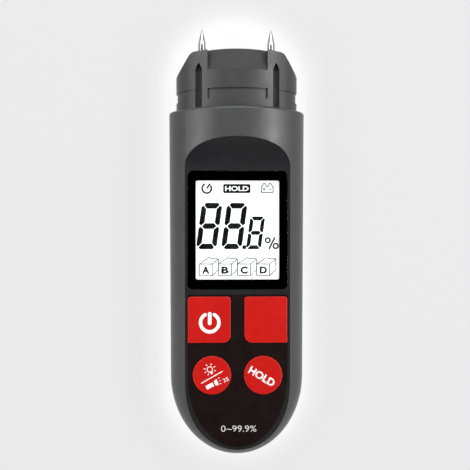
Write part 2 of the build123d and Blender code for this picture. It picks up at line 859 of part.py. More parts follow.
# Probe head: a plug between the shells, cut to its plan and crowned like the housing
corner_drop = head_end_radius - math.sqrt(head_end_radius**2 - head_corner_x**2)
corner_y = head_end_y - corner_drop
head_shoulder_y = rim_y + head_shoulder
shoulder_slope = (corner_y - head_shoulder_y) / (head_corner_x - head_half_width)
plan_half = body_width / 2
plan_shoulder_y = head_shoulder_y + shoulder_slope * (plan_half - head_half_width)
with BuildPart() as head_form:
    add(housing_form(head_inset, head_end_y + overrun))
    with BuildSketch():
        with BuildLine():
            Polyline(
                (head_corner_x, corner_y),
                (plan_half, plan_shoulder_y),
                (plan_half, tail_y),
                (-plan_half, tail_y),
                (-plan_half, plan_shoulder_y),
                (-head_corner_x, corner_y),
            )
            ThreePointArc((-head_corner_x, corner_y), (0, head_end_y), (head_corner_x, corner_y))
        make_face()
        fillet(vertices().group_by(Axis.Y)[-1], radius=head_corner_round)
    extrude(amount=body_depth, mode=Mode.INTERSECT)

rib_outer = rib_inner + rib_width
with BuildPart() as head_ribs:
    add(head_form.part)
    with BuildSketch(Plane.XY.offset(pin_z)):
        for side in (-1, 1):
            with Locations((side * (rib_inner + rib_width / 2), head_end_y - head_reach / 2)):
                Rectangle(rib_width, 2 * head_reach)
    extrude(amount=body_depth, mode=Mode.INTERSECT)

# The end of the front falls away from a ridge as a second crown, tilted about X
tilt = math.radians(ridge_tilt)
ridge_axis_y = rim_y + ridge_reach - head_radius * math.tan(tilt / 2)
tilted = Plane(origin=(0, ridge_axis_y, crown_axis_z), x_dir=(1, 0, 0), z_dir=(0, math.cos(tilt), -math.sin(tilt)))
with BuildPart() as end_fall:
    add(block((-rib_inner, rib_inner), (rim_y + ridge_reach - overrun, head_end_y + overrun),
              (pin_z + end_wall_height, 2 * body_depth)))
    with BuildSketch(tilted):
        Circle(head_radius)
    extrude(amount=4 * head_reach, both=True, mode=Mode.SUBTRACT)

slot_x = rib_outer + slot_width / 2
slot_surface_z = crown_axis_z + math.sqrt(head_radius**2 - slot_x**2)
led_top_y = head_end_y - lens_recess - lens_thickness - led_set_back
led_back_y = led_top_y - led_length
lens_seat_y = head_end_y - lens_recess - lens_thickness
bore_plane = Plane(origin=(0, cavity_end_y, pin_z), x_dir=(1, 0, 0), z_dir=(0, 1, 0))

with BuildPart() as panel_groove:
    add(band_ring(head_inset, panel_groove_depth, groove_start, groove_width))
    add(block((-rib_inner, rib_inner), (rim_y, head_end_y), (pin_z, body_depth)), mode=Mode.INTERSECT)

with BuildPart() as tail_groove:
    add(housing_form(wall, rim_y + overrun))
    add(housing_form(wall + collar_height + collar_gap, rim_y + overrun), mode=Mode.SUBTRACT)
    add(block((-body_width, body_width), (collar_y - collar_gap, collar_y + collar_width + collar_gap),
              (0, body_depth)), mode=Mode.INTERSECT)

with BuildPart() as probe_head:
    add(head_form.part)
    add(band_ring(head_inset, groove_depth, groove_start, groove_width), mode=Mode.SUBTRACT)
    add(panel_groove.part, mode=Mode.SUBTRACT)
    add(end_fall.part, mode=Mode.SUBTRACT)
    add(head_ribs.part)
    with BuildSketch(Plane.XY.offset(slot_surface_z - slot_depth)):
        for side in (-1, 1):
            with BuildLine():
                Polyline(
                    (side * rib_outer, rim_y - slot_run_in),
                    (side * (rib_outer + slot_width), rim_y - slot_run_in),
                    (side * (rib_outer + slot_width), rim_y + slot_reach - slot_point),
                    (side * slot_x, rim_y + slot_reach),
                    (side * rib_outer, rim_y + slot_reach - slot_point),
                    close=True,
                )
            make_face()
    extrude(amount=body_depth, mode=Mode.SUBTRACT)
    add(block((-cavity_width / 2, cavity_width / 2), (tail_y, cavity_end_y),
              (pin_z - cavity_height / 2, pin_z + cavity_height / 2)), mode=Mode.SUBTRACT)
    add(tail_groove.part, mode=Mode.SUBTRACT)
    with BuildSketch(bore_plane):
        with Locations((-pin_x, 0), (pin_x, 0)):
            Circle(socket_diameter / 2 + thread_gap)
    extrude(amount=socket_end_y - cavity_end_y, mode=Mode.SUBTRACT)
    with BuildSketch(bore_plane):
        with Locations((-pin_x, 0), (pin_x, 0)):
            Circle(pin_collar_diameter / 2 + fit_gap)
    extrude(amount=head_reach, mode=Mode.SUBTRACT)
    with BuildSketch(Plane.XY.offset(pin_z)):
        with BuildLine():
            Polyline(
                (0, cavity_end_y),
                (led_flange_diameter / 2 + led_gap, cavity_end_y),
                (led_flange_diameter / 2 + led_gap, led_back_y + led_flange),
                (led_diameter / 2 + led_gap, led_back_y + led_flange),
                (led_diameter / 2 + led_gap, led_top_y - led_diameter / 2),
                (lens_diameter / 2 - lens_ledge, lens_seat_y),
                (lens_diameter / 2 + fit_gap, lens_seat_y),
                (lens_diameter / 2 + fit_gap, head_end_y + lens_recess),
                (0, head_end_y + lens_recess),
                close=True,
            )
        make_face()
    revolve(axis=Axis((0, 0, pin_z), (0, 1, 0)), mode=Mode.SUBTRACT)

# Steel measuring pins: threaded shank, collar, straight shaft and a rounded taper to the point
pins = {}
for name, side in (("left_pin", -1), ("right_pin", 1)):
    shaft_end = pin_tip_y - pin_taper
    with BuildPart() as pin:
        with BuildSketch(Plane.XY.offset(pin_z)):
            with BuildLine():
                Polyline(
                    (side * pin_x, pin_tip_y),
                    (side * pin_x, socket_end_y - pin_shank_length),
                    (side * pin_x + pin_shank_diameter / 2, socket_end_y - pin_shank_length),
                    (side * pin_x + pin_shank_diameter / 2, socket_end_y),
                    (side * pin_x + pin_collar_diameter / 2, socket_end_y),
                    (side * pin_x + pin_collar_diameter / 2, collar_end_y),
                    (side * pin_x + pin_diameter / 2, collar_end_y),
                    (side * pin_x + pin_diameter / 2, shaft_end),
                )
                Bezier((side * pin_x + pin_diameter / 2, shaft_end),
                       (side * pin_x + pin_diameter / 2, shaft_end + pin_shaft_handle),
                       (side * pin_x + pin_tip_flare, pin_tip_y - pin_tip_handle),
                       (side * pin_x, pin_tip_y))
            make_face()
        revolve(axis=Axis((side * pin_x, 0, pin_z), (0, 1, 0)))
    pins[name] = pin

# Brass sockets, put in from the back of the head
with BuildPart() as pin_sockets:
    for side in (-1, 1):
        with BuildSketch(Plane(origin=(side * pin_x, socket_start_y, pin_z), x_dir=(1, 0, 0), z_dir=(0, 1, 0))):
            Circle(socket_diameter / 2)
        extrude(amount=socket_end_y - socket_start_y)
        with BuildSketch(Plane(origin=(side * pin_x, cavity_end_y, pin_z), x_dir=(1, 0, 0), z_dir=(0, -1, 0))):
            Circle(socket_flange_diameter / 2)
        extrude(amount=socket_flange)
        with BuildSketch(Plane(origin=(side * pin_x, socket_end_y, pin_z), x_dir=(1, 0, 0), z_dir=(0, -1, 0))):
            Circle(pin_shank_diameter / 2 + thread_gap)
        extrude(amount=pin_shank_length, mode=Mode.SUBTRACT)

# Bent strips from the sockets to the underside of the board
with BuildPart() as pin_contacts:
    for side in (-1, 1):
        with BuildSketch(Plane.YZ.offset(side * pin_x - contact_width / 2)):
            with BuildLine():
                Polyline(
                    (socket_start_y, pin_z - socket_diameter / 2),
                    (socket_start_y, board_z),
                    (board_end_y - contact_overlap, board_z),
                    (board_end_y - contact_overlap, board_z - contact_strip),
                    (socket_start_y - contact_strip, board_z - contact_strip),
                    (socket_start_y - contact_strip, pin_z - socket_diameter / 2),
                    close=True,
                )
            make_face()
        extrude(amount=contact_width)

# Torch lamp with its two bent legs, and the clear lens before it
with BuildPart() as torch_led:
    with BuildSketch(Plane.XY.offset(pin_z)):
        with BuildLine():
            Polyline(
                (0, led_top_y),
                (0, led_back_y),
                (led_flange_diameter / 2, led_back_y),
                (led_flange_diameter / 2, led_back_y + led_flange),
                (led_diameter / 2, led_back_y + led_flange),
                (led_diameter / 2, led_top_y - led_diameter / 2),
            )
            RadiusArc((led_diameter / 2, led_top_y - led_diameter / 2), (0, led_top_y), -led_diameter / 2)
        make_face()
    revolve(axis=Axis((0, 0, pin_z), (0, 1, 0)))
    for side in (-1, 1):
        leg_end_y = board_end_y - leg_overlap
        with BuildSketch(Plane.YZ.offset((side * leg_spacing - leg_size) / 2)):
            with BuildLine():
                Polyline(
                    (led_back_y, pin_z - leg_size / 2),
                    (leg_end_y, pin_z - leg_size / 2),
                    (leg_end_y, board_z),
                    (leg_end_y + leg_size, board_z),
                    (leg_end_y + leg_size, pin_z + leg_size / 2),
                    (led_back_y, pin_z + leg_size / 2),
                    close=True,
                )
            make_face()
        extrude(amount=leg_size)

with BuildPart() as torch_lens:
    with BuildSketch(Plane(origin=(0, lens_seat_y, pin_z), x_dir=(1, 0, 0), z_dir=(0, 1, 0))):
        Circle(lens_diameter / 2)
    extrude(amount=lens_thickness)
    fillet(torch_lens.faces().sort_by(Axis.Y)[-1].edges(), radius=lens_ledge)


def screw(place, seat_z, length):
    """Pan-head screw that points up from its seat."""
    with BuildPart() as body:
        with BuildSketch(Plane.XY.offset(seat_z)):
            with Locations(place):
                Circle(screw_diameter / 2)
        extrude(amount=length)
        with BuildSketch(Plane.XY.offset(seat_z)):
            with Locations(place):
                Circle(screw_head_diameter / 2)
        extrude(amount=-screw_head_height)
        fillet(body.faces().sort_by(Axis.Z)[0].edges(), radius=screw_head_round)
        with BuildSketch(Plane.XY.offset(seat_z - screw_head_height)):
            with Locations(place):
                Rectangle(recess_length, recess_width)
                Rectangle(recess_width, recess_length)
        extrude(amount=recess_depth, mode=Mode.SUBTRACT)
    return body.part


with BuildPart() as housing_screws:
    for place in post_places:
        add(screw(place, housing_screw_seat, housing_screw_length))

with BuildPart() as board_screw_set:
    for place in board_screws:
        add(screw(place, board_z, board_screw_length))

# Every piece by the name of its own file
pieces = {
    "front_shell": front_shell,
    "rear_shell": rear_shell,
    "face_panel": face_panel,
    "face_overlay": face_overlay,
    "lcd_window": lcd_window,
    "window_mask": window_mask,
    "lcd_frame": lcd_frame,
    "lcd_glass": lcd_glass,
    "light_guide": light_guide,
    "lcd_contact_strips": contact_strips,
    "backlight_lamps": backlight_lamps,
    "main_board": main_board,
    "controller_chip": controller_chip,
    "amplifier_chip": amplifier_chip,
    "small_components": small_components,
    "probe_head": probe_head,
    "pin_sockets": pin_sockets,
    "pin_contacts": pin_contacts,
    "torch_led": torch_led,
    "torch_lens": torch_lens,
    "battery_door": battery_door,
    "positive_contact": positive_contact,
    "negative_contact": negative_contact,
    "bridge_contact": bridge_contact,
    "battery_springs": battery_springs,
    "housing_screws": housing_screws,
    "board_screws": board_screw_set,
}
pieces.update(cells)
pieces.update(pins)
for key_name in keys:
    pieces[f"{key_name}_key"] = key_caps[key_name]
    pieces[f"{key_name}_switch"] = switches[key_name]
    pieces[f"{key_name}_plunger"] = plungers[key_name]

for name, piece in pieces.items():
    finish_piece(piece, name)
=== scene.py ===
import logging
import math
from collections.abc import Callable
from dataclasses import dataclass, field
from enum import Enum

import bpy
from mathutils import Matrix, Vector


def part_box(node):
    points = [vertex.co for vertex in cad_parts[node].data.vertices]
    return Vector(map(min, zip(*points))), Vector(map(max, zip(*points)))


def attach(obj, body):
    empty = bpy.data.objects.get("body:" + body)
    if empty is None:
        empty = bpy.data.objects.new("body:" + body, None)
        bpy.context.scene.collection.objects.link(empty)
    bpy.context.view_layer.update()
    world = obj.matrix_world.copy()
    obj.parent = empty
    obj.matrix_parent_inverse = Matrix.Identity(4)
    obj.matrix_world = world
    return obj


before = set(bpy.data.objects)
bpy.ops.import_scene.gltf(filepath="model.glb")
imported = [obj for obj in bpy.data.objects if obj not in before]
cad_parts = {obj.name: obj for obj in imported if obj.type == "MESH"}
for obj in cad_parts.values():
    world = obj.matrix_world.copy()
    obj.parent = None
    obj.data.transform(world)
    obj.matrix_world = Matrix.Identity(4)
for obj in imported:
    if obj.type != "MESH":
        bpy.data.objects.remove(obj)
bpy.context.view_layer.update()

log = logging.getLogger("moisture_meter")

MERGE = 1e-7
MM = 0.001
NOISE_LOW = 0.3
NOISE_HIGH = 0.7
Colour = tuple[float, float, float]
Point = tuple[float, float]
Pair = tuple[float, float]
Piece = bpy.types.Object
Node = bpy.types.Node
Material = bpy.types.Material


class Body(Enum):
    """Bodies of the meter that its pieces move with."""

    HOUSING = "housing"
    POWER = "power_button"
    SELECT = "select_button"
    LIGHT = "light_button"
    HOLD = "hold_button"


class Bench:
    """Modelling moves shared by all the pieces."""

    @staticmethod
    def clear() -> None:
        """Deselect everything, so that an operator acts only on what it should."""
        bpy.ops.object.select_all(action="DESELECT")

    @staticmethod
    def activate(piece: Piece) -> None:
        """Select one piece alone and make it active.

        Args:
            piece: The object to work on.
        """
        Bench.clear()
        piece.select_set(True)
        bpy.context.view_layer.objects.active = piece

    @staticmethod
    def edit_all() -> None:
        """Enter edit mode on the active piece, with all of it selected."""
        bpy.ops.object.mode_set(mode="EDIT")
        bpy.ops.mesh.select_all(action="SELECT")

    @staticmethod
    def take(name: str) -> Piece:
        """Name the primitive that was just added.

        Args:
            name: Name for the object and its mesh.

        Returns:
            The object.
        """
        piece = bpy.context.active_object
        piece.name = name
        piece.data.name = name
        return piece

    @staticmethod
    def settle(piece: Piece) -> None:
        """Put the piece's place, turn and scale into its mesh.

        Args:
            piece: The object to settle.
        """
        Bench.activate(piece)
        bpy.ops.object.transform_apply(location=True, rotation=True, scale=True)

    @staticmethod
    def join(name: str, pieces: list[Piece]) -> Piece:
        """Join several meshes into one piece.

        Args:
            name: Name of the joined piece.
            pieces: The meshes; the first one keeps its place.

        Returns:
            The joined object.
        """
        Bench.clear()
        for piece in pieces:
            piece.select_set(True)
        bpy.context.view_layer.objects.active = pieces[0]
        if len(pieces) > 1:
            bpy.ops.object.join()
        return Bench.take(name)

    @staticmethod
    def point_outwards(piece: Piece) -> None:
        """Merge doubled points and turn all faces outwards.

        Args:
            piece: The object to mend.
        """
        Bench.activate(piece)
        Bench.edit_all()
        bpy.ops.mesh.remove_doubles(threshold=MERGE)
        bpy.ops.mesh.normals_make_consistent(inside=False)
        bpy.ops.object.mode_set(mode="OBJECT")

    @staticmethod
    def pick_edges(piece: Piece, wanted: Callable[[Vector, Vector], bool]) -> None:
        """Select the edges that a test accepts and leave the piece in edit mode.

        Args:
            piece: The object whose edges are picked.
            wanted: Test on the two ends of an edge.
        """
        Bench.activate(piece)
        bpy.ops.object.mode_set(mode="EDIT")
        bpy.ops.mesh.select_mode(type="EDGE")
        bpy.ops.mesh.select_all(action="DESELECT")
        bpy.ops.object.mode_set(mode="OBJECT")
        points = piece.data.vertices
        for edge in piece.data.edges:
            edge.select = wanted(points[edge.vertices[0]].co, points[edge.vertices[1]].co)
        bpy.ops.object.mode_set(mode="EDIT")

    @staticmethod
    def round_uprights(piece: Piece, radius: float, steps: int) -> None:
        """Round the upright edges of a plate.

        Args:
            piece: The plate.
            radius: Radius of its corners.
            steps: Flats on each corner.
        """
        Bench.pick_edges(piece, lambda a, b: abs(a.z - b.z) > MERGE and (a.xy - b.xy).length < MERGE)
        bpy.ops.mesh.bevel(offset=radius, segments=steps, affect="EDGES", clamp_overlap=True)
        bpy.ops.object.mode_set(mode="OBJECT")


def shifted(origin: Point, offset: Point, unit: float = 1.0) -> Point:
    """Move a point by an offset that is given in some unit."""
    return (origin[0] + unit * offset[0], origin[1] + unit * offset[1])


@dataclass(frozen=True)
class PrintLayer:
    """Thin layer of print on a surface, with the strokes that signs are made of."""

    base: float
    thickness: float = 0.00002

    PLANE_MARGIN = 1.2
    FEWEST_STEPS = 8
    STEP_ANGLE = math.radians(9)
    END_FLATS = 5
    CORNER_FLATS = 4
    LETTER_CURVE = 4

    def raised(self, factor: float) -> "PrintLayer":
        """Give a thicker layer on the same base, for a stroke that lies over others."""
        return PrintLayer(self.base, self.thickness * factor)

    def upper(self) -> "PrintLayer":
        """Give a second layer that lies on top of this one."""
        return PrintLayer(self.base + self.thickness, self.thickness)

    def plate(self, name: str, corners: list[Point]) -> Piece:
        """Cut a flat plate to a convex outline.

        Args:
            name: Name of the plate.
            corners: Corners of the outline, anticlockwise.

        Returns:
            The plate.
        """
        xs, ys = zip(*corners)
        centre = ((min(xs) + max(xs)) / 2, (min(ys) + max(ys)) / 2, self.base)
        span = self.PLANE_MARGIN * max(max(xs) - min(xs), max(ys) - min(ys))
        Bench.clear()
        bpy.ops.mesh.primitive_plane_add(size=span, location=centre)
        piece = Bench.take(name)
        Bench.settle(piece)
        bpy.ops.object.mode_set(mode="EDIT")
        for start, end in zip(corners, corners[1:] + corners[:1]):
            bpy.ops.mesh.select_all(action="SELECT")
            outward = (end[1] - start[1], start[0] - end[0], 0)
            bpy.ops.mesh.bisect(plane_co=(*start, self.base), plane_no=outward, clear_outer=True,
                                threshold=MERGE)
        bpy.ops.mesh.select_all(action="SELECT")
        bpy.ops.mesh.extrude_region_move(TRANSFORM_OT_translate={"value": (0, 0, self.thickness)})
        bpy.ops.object.mode_set(mode="OBJECT")
        Bench.point_outwards(piece)
        return piece

    def slab(self, name: str, centre: Point, size: Pair, turn: float = 0.0) -> Piece:
        """Make a rectangular plate.

        Args:
            name: Name of the plate.
            centre: Its middle.
            size: Its length and width.
            turn: Angle in radians, anticlockwise.

        Returns:
            The plate.
        """
        Bench.clear()
        bpy.ops.mesh.primitive_cube_add(size=1, location=(*centre, self.base + self.thickness / 2),
                                        rotation=(0, 0, turn), scale=(*size, self.thickness))
        piece = Bench.take(name)
        Bench.settle(piece)
        return piece

    def bar(self, name: str, start: Point, end: Point, width: float, rounded: bool = False) -> Piece:
        """Make a straight stroke between two points.

        Args:
            name: Name of the stroke.
            start: Its first end.
            end: Its other end.
            width: Its width.
            rounded: Whether its ends are round and reach past the points.

        Returns:
            The stroke.
        """
        run = Vector(end) - Vector(start)
        middle = (Vector(start) + Vector(end)) / 2
        reach = run.length + (width if rounded else 0)
        piece = self.slab(name, tuple(middle), (reach, width), math.atan2(run.y, run.x))
        if rounded:
            Bench.round_uprights(piece, width / 2, self.END_FLATS)
        return piece

    def tile(self, name: str, centre: Point, size: Pair, corner: float) -> Piece:
        """Make a rectangular plate with round corners.

        Args:
            name: Name of the plate.
            centre: Its middle.
            size: Its width and height.
            corner: Radius of its corners.

        Returns:
            The plate.
        """
        piece = self.slab(name, centre, size)
        Bench.round_uprights(piece, corner, self.CORNER_FLATS)
        return piece

    def arc(self, name: str, centre: Point, radius: float, width: float, sweep: Pair = (0, 360)) -> Piece:
        """Spin a small section into a flat ring, or a part of one.

        Args:
            name: Name of the ring.
            centre: Its middle.
            radius: Radius at the middle of its width.
            width: Its width.
            sweep: Angles in degrees, anticlockwise, where it starts and ends.

        Returns:
            The ring.
        """
        first = math.radians(sweep[0])
        turn = math.radians(sweep[1] - sweep[0])
        place = (*shifted(centre, (math.cos(first), math.sin(first)), radius),
                 self.base + self.thickness / 2)
        Bench.clear()
        bpy.ops.mesh.primitive_plane_add(size=1, location=place, rotation=(math.pi / 2, 0, first))
        piece = Bench.take(name)
        piece.scale = (width, self.thickness, 1)
        Bench.settle(piece)
        Bench.edit_all()
        steps = max(self.FEWEST_STEPS, round(abs(turn) / self.STEP_ANGLE))
        bpy.ops.mesh.spin(steps=steps, angle=-turn, center=(*centre, self.base), axis=(0, 0, 1))
        bpy.ops.object.mode_set(mode="OBJECT")
        Bench.point_outwards(piece)
        return piece

    def lettering(self, name: str, words: str, centre: Point, size: Pair, turn: float = 0.0,
                  weight: float = 0.0) -> Piece:
        """Make printed signs of a given size.

        Args:
            name: Name of the piece.
            words: The letters or numbers.
            centre: Middle of the line.
            size: Width and height of the line as it is before its turn.
            turn: Degrees anticlockwise.
            weight: How far the strokes are fattened, as a share of the letter size.

        Returns:
            The signs.
        """
        Bench.clear()
        bpy.ops.object.text_add(location=(0, 0, 0))
        line = bpy.context.active_object
        line.data.body = words
        line.data.size = 1.0
        line.data.offset = weight
        line.data.resolution_u = self.LETTER_CURVE
        bpy.ops.object.convert(target="MESH")
        piece = Bench.take(name)
        xs = [point.co.x for point in piece.data.vertices]
        ys = [point.co.y for point in piece.data.vertices]
        middle = Vector(((min(xs) + max(xs)) / 2, (min(ys) + max(ys)) / 2, 0))
        Bench.edit_all()
        bpy.ops.transform.translate(value=-middle)
        bpy.ops.mesh.extrude_region_move(TRANSFORM_OT_translate={"value": (0, 0, 1)})
        bpy.ops.object.mode_set(mode="OBJECT")
        piece.scale = (size[0] / (max(xs) - min(xs)), size[1] / (max(ys) - min(ys)), self.thickness)
        Bench.settle(piece)
        piece.rotation_euler = (0, 0, math.radians(turn))
        piece.location = (*centre, self.base)
        Bench.settle(piece)
        Bench.point_outwards(piece)
        return piece


class Wiring:
    """Nodes of one tree, added and linked in turn."""

    def __init__(self, tree: bpy.types.NodeTree) -> None:
        """Start an empty tree with its coordinates.

        Args:
            tree: Node tree of a material or a world.
        """
        self.tree = tree
        self.tree.nodes.clear()
        self.coordinates = self.add("ShaderNodeTexCoord")

    def add(self, kind: str, **settings: object) -> Node:
        """Add a node and set its properties or input values.

        Args:
            kind: Type name of the node.
            settings: Property names, or input names with underscores for spaces.

        Returns:
            The node.
        """
        node = self.tree.nodes.new(kind)
        for key, value in settings.items():
            if hasattr(node, key):
                setattr(node, key, value)
            else:
                node.inputs[key.replace("_", " ")].default_value = value
        return node

    def link(self, source: Node, output: str, target: Node, socket: str | int) -> None:
        """Link an output to an input.

        Args:
            source: Node that gives the value.
            output: Name of its output.
            target: Node that takes it.
            socket: Name or number of its input.
        """
        self.tree.links.new(source.outputs[output], target.inputs[socket])

    def noise(self, size: float, detail: float = 2.0, stretch: Colour = (1, 1, 1)) -> Node:
        """Add noise in the object's own coordinates.

        Args:
            size: Size of its features in metres.
            detail: How much finer noise is laid over it.
            stretch: Scale along each axis.

        Returns:
            The noise node.
        """
        mapping = self.add("ShaderNodeMapping", Scale=stretch)
        self.link(self.coordinates, "Object", mapping, "Vector")
        noise = self.add("ShaderNodeTexNoise", Scale=1 / size, Detail=detail)
        self.link(mapping, "Vector", noise, "Vector")
        return noise

    def ramp(self, source: Node, output: str, stops: list[tuple[float, Colour]]) -> Node:
        """Turn a value into a colour.

        Args:
            source: Node that gives the value.
            output: Name of its output.
            stops: Places along the ramp with their colours.

        Returns:
            The ramp node.
        """
        ramp = self.add("ShaderNodeValToRGB")
        elements = ramp.color_ramp.elements
        while len(elements) < len(stops):
            elements.new(0.5)
        for element, (place, colour) in zip(elements, stops):
            element.position = place
            element.color = (*colour, 1)
        self.link(source, output, ramp, "Fac")
        return ramp

    def greys(self, source: Node, output: str, stops: tuple[Pair, ...]) -> Node:
        """Turn a value into a grey, by stops of place and level."""
        return self.ramp(source, output, [(place, (level,) * 3) for place, level in stops])

    def seen_rays(self) -> Node:
        """Add a switch that is on for what the camera sees, also in gloss and glass.

        Returns:
            The last node of the switch.
        """
        path = self.add("ShaderNodeLightPath")
        first, both = (self.add("ShaderNodeMath", operation="MAXIMUM") for _ in range(2))
        self.link(path, "Is Camera Ray", first, 0)
        self.link(path, "Is Glossy Ray", first, 1)
        self.link(first, "Value", both, 0)
        self.link(path, "Is Transmission Ray", both, 1)
        return both


class Coating(Wiring):
    """Nodes of one material round its shader."""

    def __init__(self, name: str, **settings: object) -> None:
        """Start a material with a shader and its output.

        Args:
            name: Name of the material.
            settings: Input values of the shader, with underscores for spaces.
        """
        self.material = bpy.data.materials.new(name)
        self.material.use_nodes = True
        super().__init__(self.material.node_tree)
        self.output = self.add("ShaderNodeOutputMaterial")
        self.shader = self.add("ShaderNodeBsdfPrincipled", **settings)
        self.link(self.shader, "BSDF", self.output, "Surface")

    def tint(self, noise: Node, low: Colour, high: Colour) -> None:
        """Let noise move the base colour between two colours.

        Args:
            noise: The noise node.
            low: Colour where the noise is low.
            high: Colour where it is high.
        """
        ramp = self.ramp(noise, "Fac", [(NOISE_LOW, low), (NOISE_HIGH, high)])
        self.link(ramp, "Color", self.shader, "Base Color")

    def roughen(self, source: Node, output: str, low: float, high: float) -> None:
        """Let a pattern drive the gloss.

        Args:
            source: Node that gives the pattern.
            output: Name of its output.
            low: Roughness where the pattern is low.
            high: Roughness where it is high.
        """
        spread = self.add("ShaderNodeMapRange", From_Min=NOISE_LOW, From_Max=NOISE_HIGH, To_Min=low,
                          To_Max=high)
        self.link(source, output, spread, "Value")
        self.link(spread, "Result", self.shader, "Roughness")

    def emboss(self, source: Node, output: str, depth: float) -> None:
        """Let a pattern raise the surface.

        Args:
            source: Node that gives the pattern.
            output: Name of its output.
            depth: Height of the relief in metres.
        """
        bump = self.add("ShaderNodeBump", Strength=1.0, Distance=depth)
        self.link(source, output, bump, "Height")
        self.link(bump, "Normal", self.shader, "Normal")


def shade(colour: Colour, factor: float) -> Colour:
    """Make a colour lighter or darker by a factor."""
    return tuple(min(1.0, channel * factor) for channel in colour)


@dataclass(frozen=True)
class MouldedPlastic:
    """Moulded plastic with a fine spark-eroded grain and a slow drift of shade."""

    name: str
    colour: Colour
    roughness: float
    grain: float = 0.00032
    depth: float = 0.000012
    drift: float = 0.08
    specular: float = 0.5

    def make(self) -> Material:
        """Build the material."""
        wiring = Coating(self.name, Specular_IOR_Level=self.specular)
        cloud = wiring.noise(size=0.014, detail=3.0)
        wiring.tint(cloud, shade(self.colour, 1 - self.drift), shade(self.colour, 1 + self.drift))
        wiring.roughen(wiring.noise(size=0.004, detail=4.0), "Fac", self.roughness - 0.04,
                       self.roughness + 0.06)
        wiring.emboss(wiring.noise(self.grain, detail=3.0), "Fac", self.depth)
        return wiring.material


@dataclass(frozen=True)
class KeyPlastic:
    """Red key moulding: silky, with a painted highlight, a thin pale line along its rounded rim."""

    name: str = "key_red"
    colour: Colour = (0.47, 0.0036, 0.0016)
    rim_highlight: Colour = (0.45, 0.06, 0.05)
    highlight_share: float = 0.55
    roughness: float = 0.42

    def make(self) -> Material:
        """Build the material."""
        wiring = Coating(self.name, Specular_IOR_Level=0.22)
        cloud = wiring.noise(size=0.009)
        red = wiring.ramp(cloud, "Fac", [(NOISE_LOW, shade(self.colour, 0.94)),
                                         (NOISE_HIGH, shade(self.colour, 1.05))])
        # Painted highlight: where the top rounds over at the rim, the red turns paler, as if light caught
        # the edge.
        facing = wiring.add("ShaderNodeNewGeometry")
        axes = wiring.add("ShaderNodeSeparateXYZ")
        wiring.link(facing, "Normal", axes, "Vector")
        rim_highlight_mask = wiring.greys(axes, "Z", ((0.55, 0.0), (0.8, self.highlight_share), (0.985, 0.0)))
        blend = wiring.add("ShaderNodeMix", data_type="RGBA")
        wiring.link(rim_highlight_mask, "Color", blend, 0)
        wiring.link(red, "Color", blend, 6)
        blend.inputs[7].default_value = (*self.rim_highlight, 1)
        wiring.tree.links.new(blend.outputs[2], wiring.shader.inputs["Base Color"])
        wiring.roughen(wiring.noise(size=0.002, detail=3.0), "Fac", self.roughness - 0.05,
                       self.roughness + 0.05)
        wiring.emboss(wiring.noise(size=0.00025), "Fac", depth=0.000006)
        return wiring.material


@dataclass(frozen=True)
class TurnedMetal:
    """Turned or drawn metal with fine rings across its length."""

    name: str
    colour: Colour
    roughness: float
    pitch: float = 0.00009
    depth: float = 0.000002

    def make(self) -> Material:
        """Build the material."""
        wiring = Coating(self.name, Metallic=1.0)
        cloud = wiring.noise(size=0.002, detail=3.0, stretch=(1, 0.4, 1))
        wiring.tint(cloud, shade(self.colour, 0.86), self.colour)
        wiring.roughen(cloud, "Fac", self.roughness, self.roughness + 0.08)
        rings = wiring.noise(self.pitch, detail=1.0, stretch=(0.05, 1, 0.05))
        wiring.emboss(rings, "Fac", self.depth)
        return wiring.material


@dataclass(frozen=True)
class PrintedInk:
    """Screen-printed ink: even, a little soft at its gloss, with a faint grain."""

    name: str
    colour: Colour
    roughness: float = 0.5

    def make(self) -> Material:
        """Build the material."""
        wiring = Coating(self.name, Specular_IOR_Level=0.25)
        speckle = wiring.noise(size=0.0004)
        wiring.tint(speckle, shade(self.colour, 0.95), self.colour)
        wiring.roughen(speckle, "Fac", self.roughness, self.roughness + 0.1)
        return wiring.material


@dataclass(frozen=True)
class ClearPlastic:
    """Clear cast plastic with a faint smear in its gloss."""

    name: str
    colour: Colour
    opacity: float
    roughness: float
    clearness: float = 0.0

    def make(self) -> Material:
        """Build the material."""
        wiring = Coating(self.name, Alpha=self.opacity, Transmission_Weight=self.clearness)
        haze = wiring.noise(size=0.012, detail=4.0)
        wiring.tint(haze, shade(self.colour, 0.96), self.colour)
        wiring.roughen(haze, "Fac", self.roughness, self.roughness + 0.06)
        return wiring.material


@dataclass(frozen=True)
class DisplayFace:
    """White display glass, evenly lit from behind, with a fine diffuser grain."""

    name: str = "display_white"
    colour: Colour = (0.86, 0.87, 0.87)
    glow: float = 0.9

    def make(self) -> Material:
        """Build the material."""
        wiring = Coating(self.name, Specular_IOR_Level=0.2, Emission_Strength=self.glow)
        grain = wiring.noise(size=0.0006, detail=3.0)
        tint = wiring.ramp(grain, "Fac", [(0.25, shade(self.colour, 0.97)), (0.75, self.colour)])
        wiring.link(tint, "Color", wiring.shader, "Base Color")
        wiring.link(tint, "Color", wiring.shader, "Emission Color")
        wiring.roughen(grain, "Fac", low=0.3, high=0.42)
        return wiring.material


@dataclass(frozen=True)
class CircuitLaminate:
    """Circuit board with solder mask, tracks under it and a rough glass edge."""

    name: str = "board_green"
    mask: Colour = (0.012, 0.085, 0.030)
    track: Colour = (0.028, 0.17, 0.055)

    def make(self) -> Material:
        """Build the material."""
        wiring = Coating(self.name)
        tracks = wiring.add("ShaderNodeTexBrick", offset=0.35, Scale=420.0, Mortar_Size=0.10)
        for socket, colour in (("Color1", self.mask), ("Color2", shade(self.mask, 1.25)),
                               ("Mortar", self.track)):
            tracks.inputs[socket].default_value = (*colour, 1)
        wiring.link(wiring.coordinates, "Object", tracks, "Vector")
        wiring.link(tracks, "Color", wiring.shader, "Base Color")
        wiring.roughen(wiring.noise(size=0.0012), "Fac", low=0.28, high=0.4)
        wiring.emboss(tracks, "Fac", depth=0.00003)
        return wiring.material


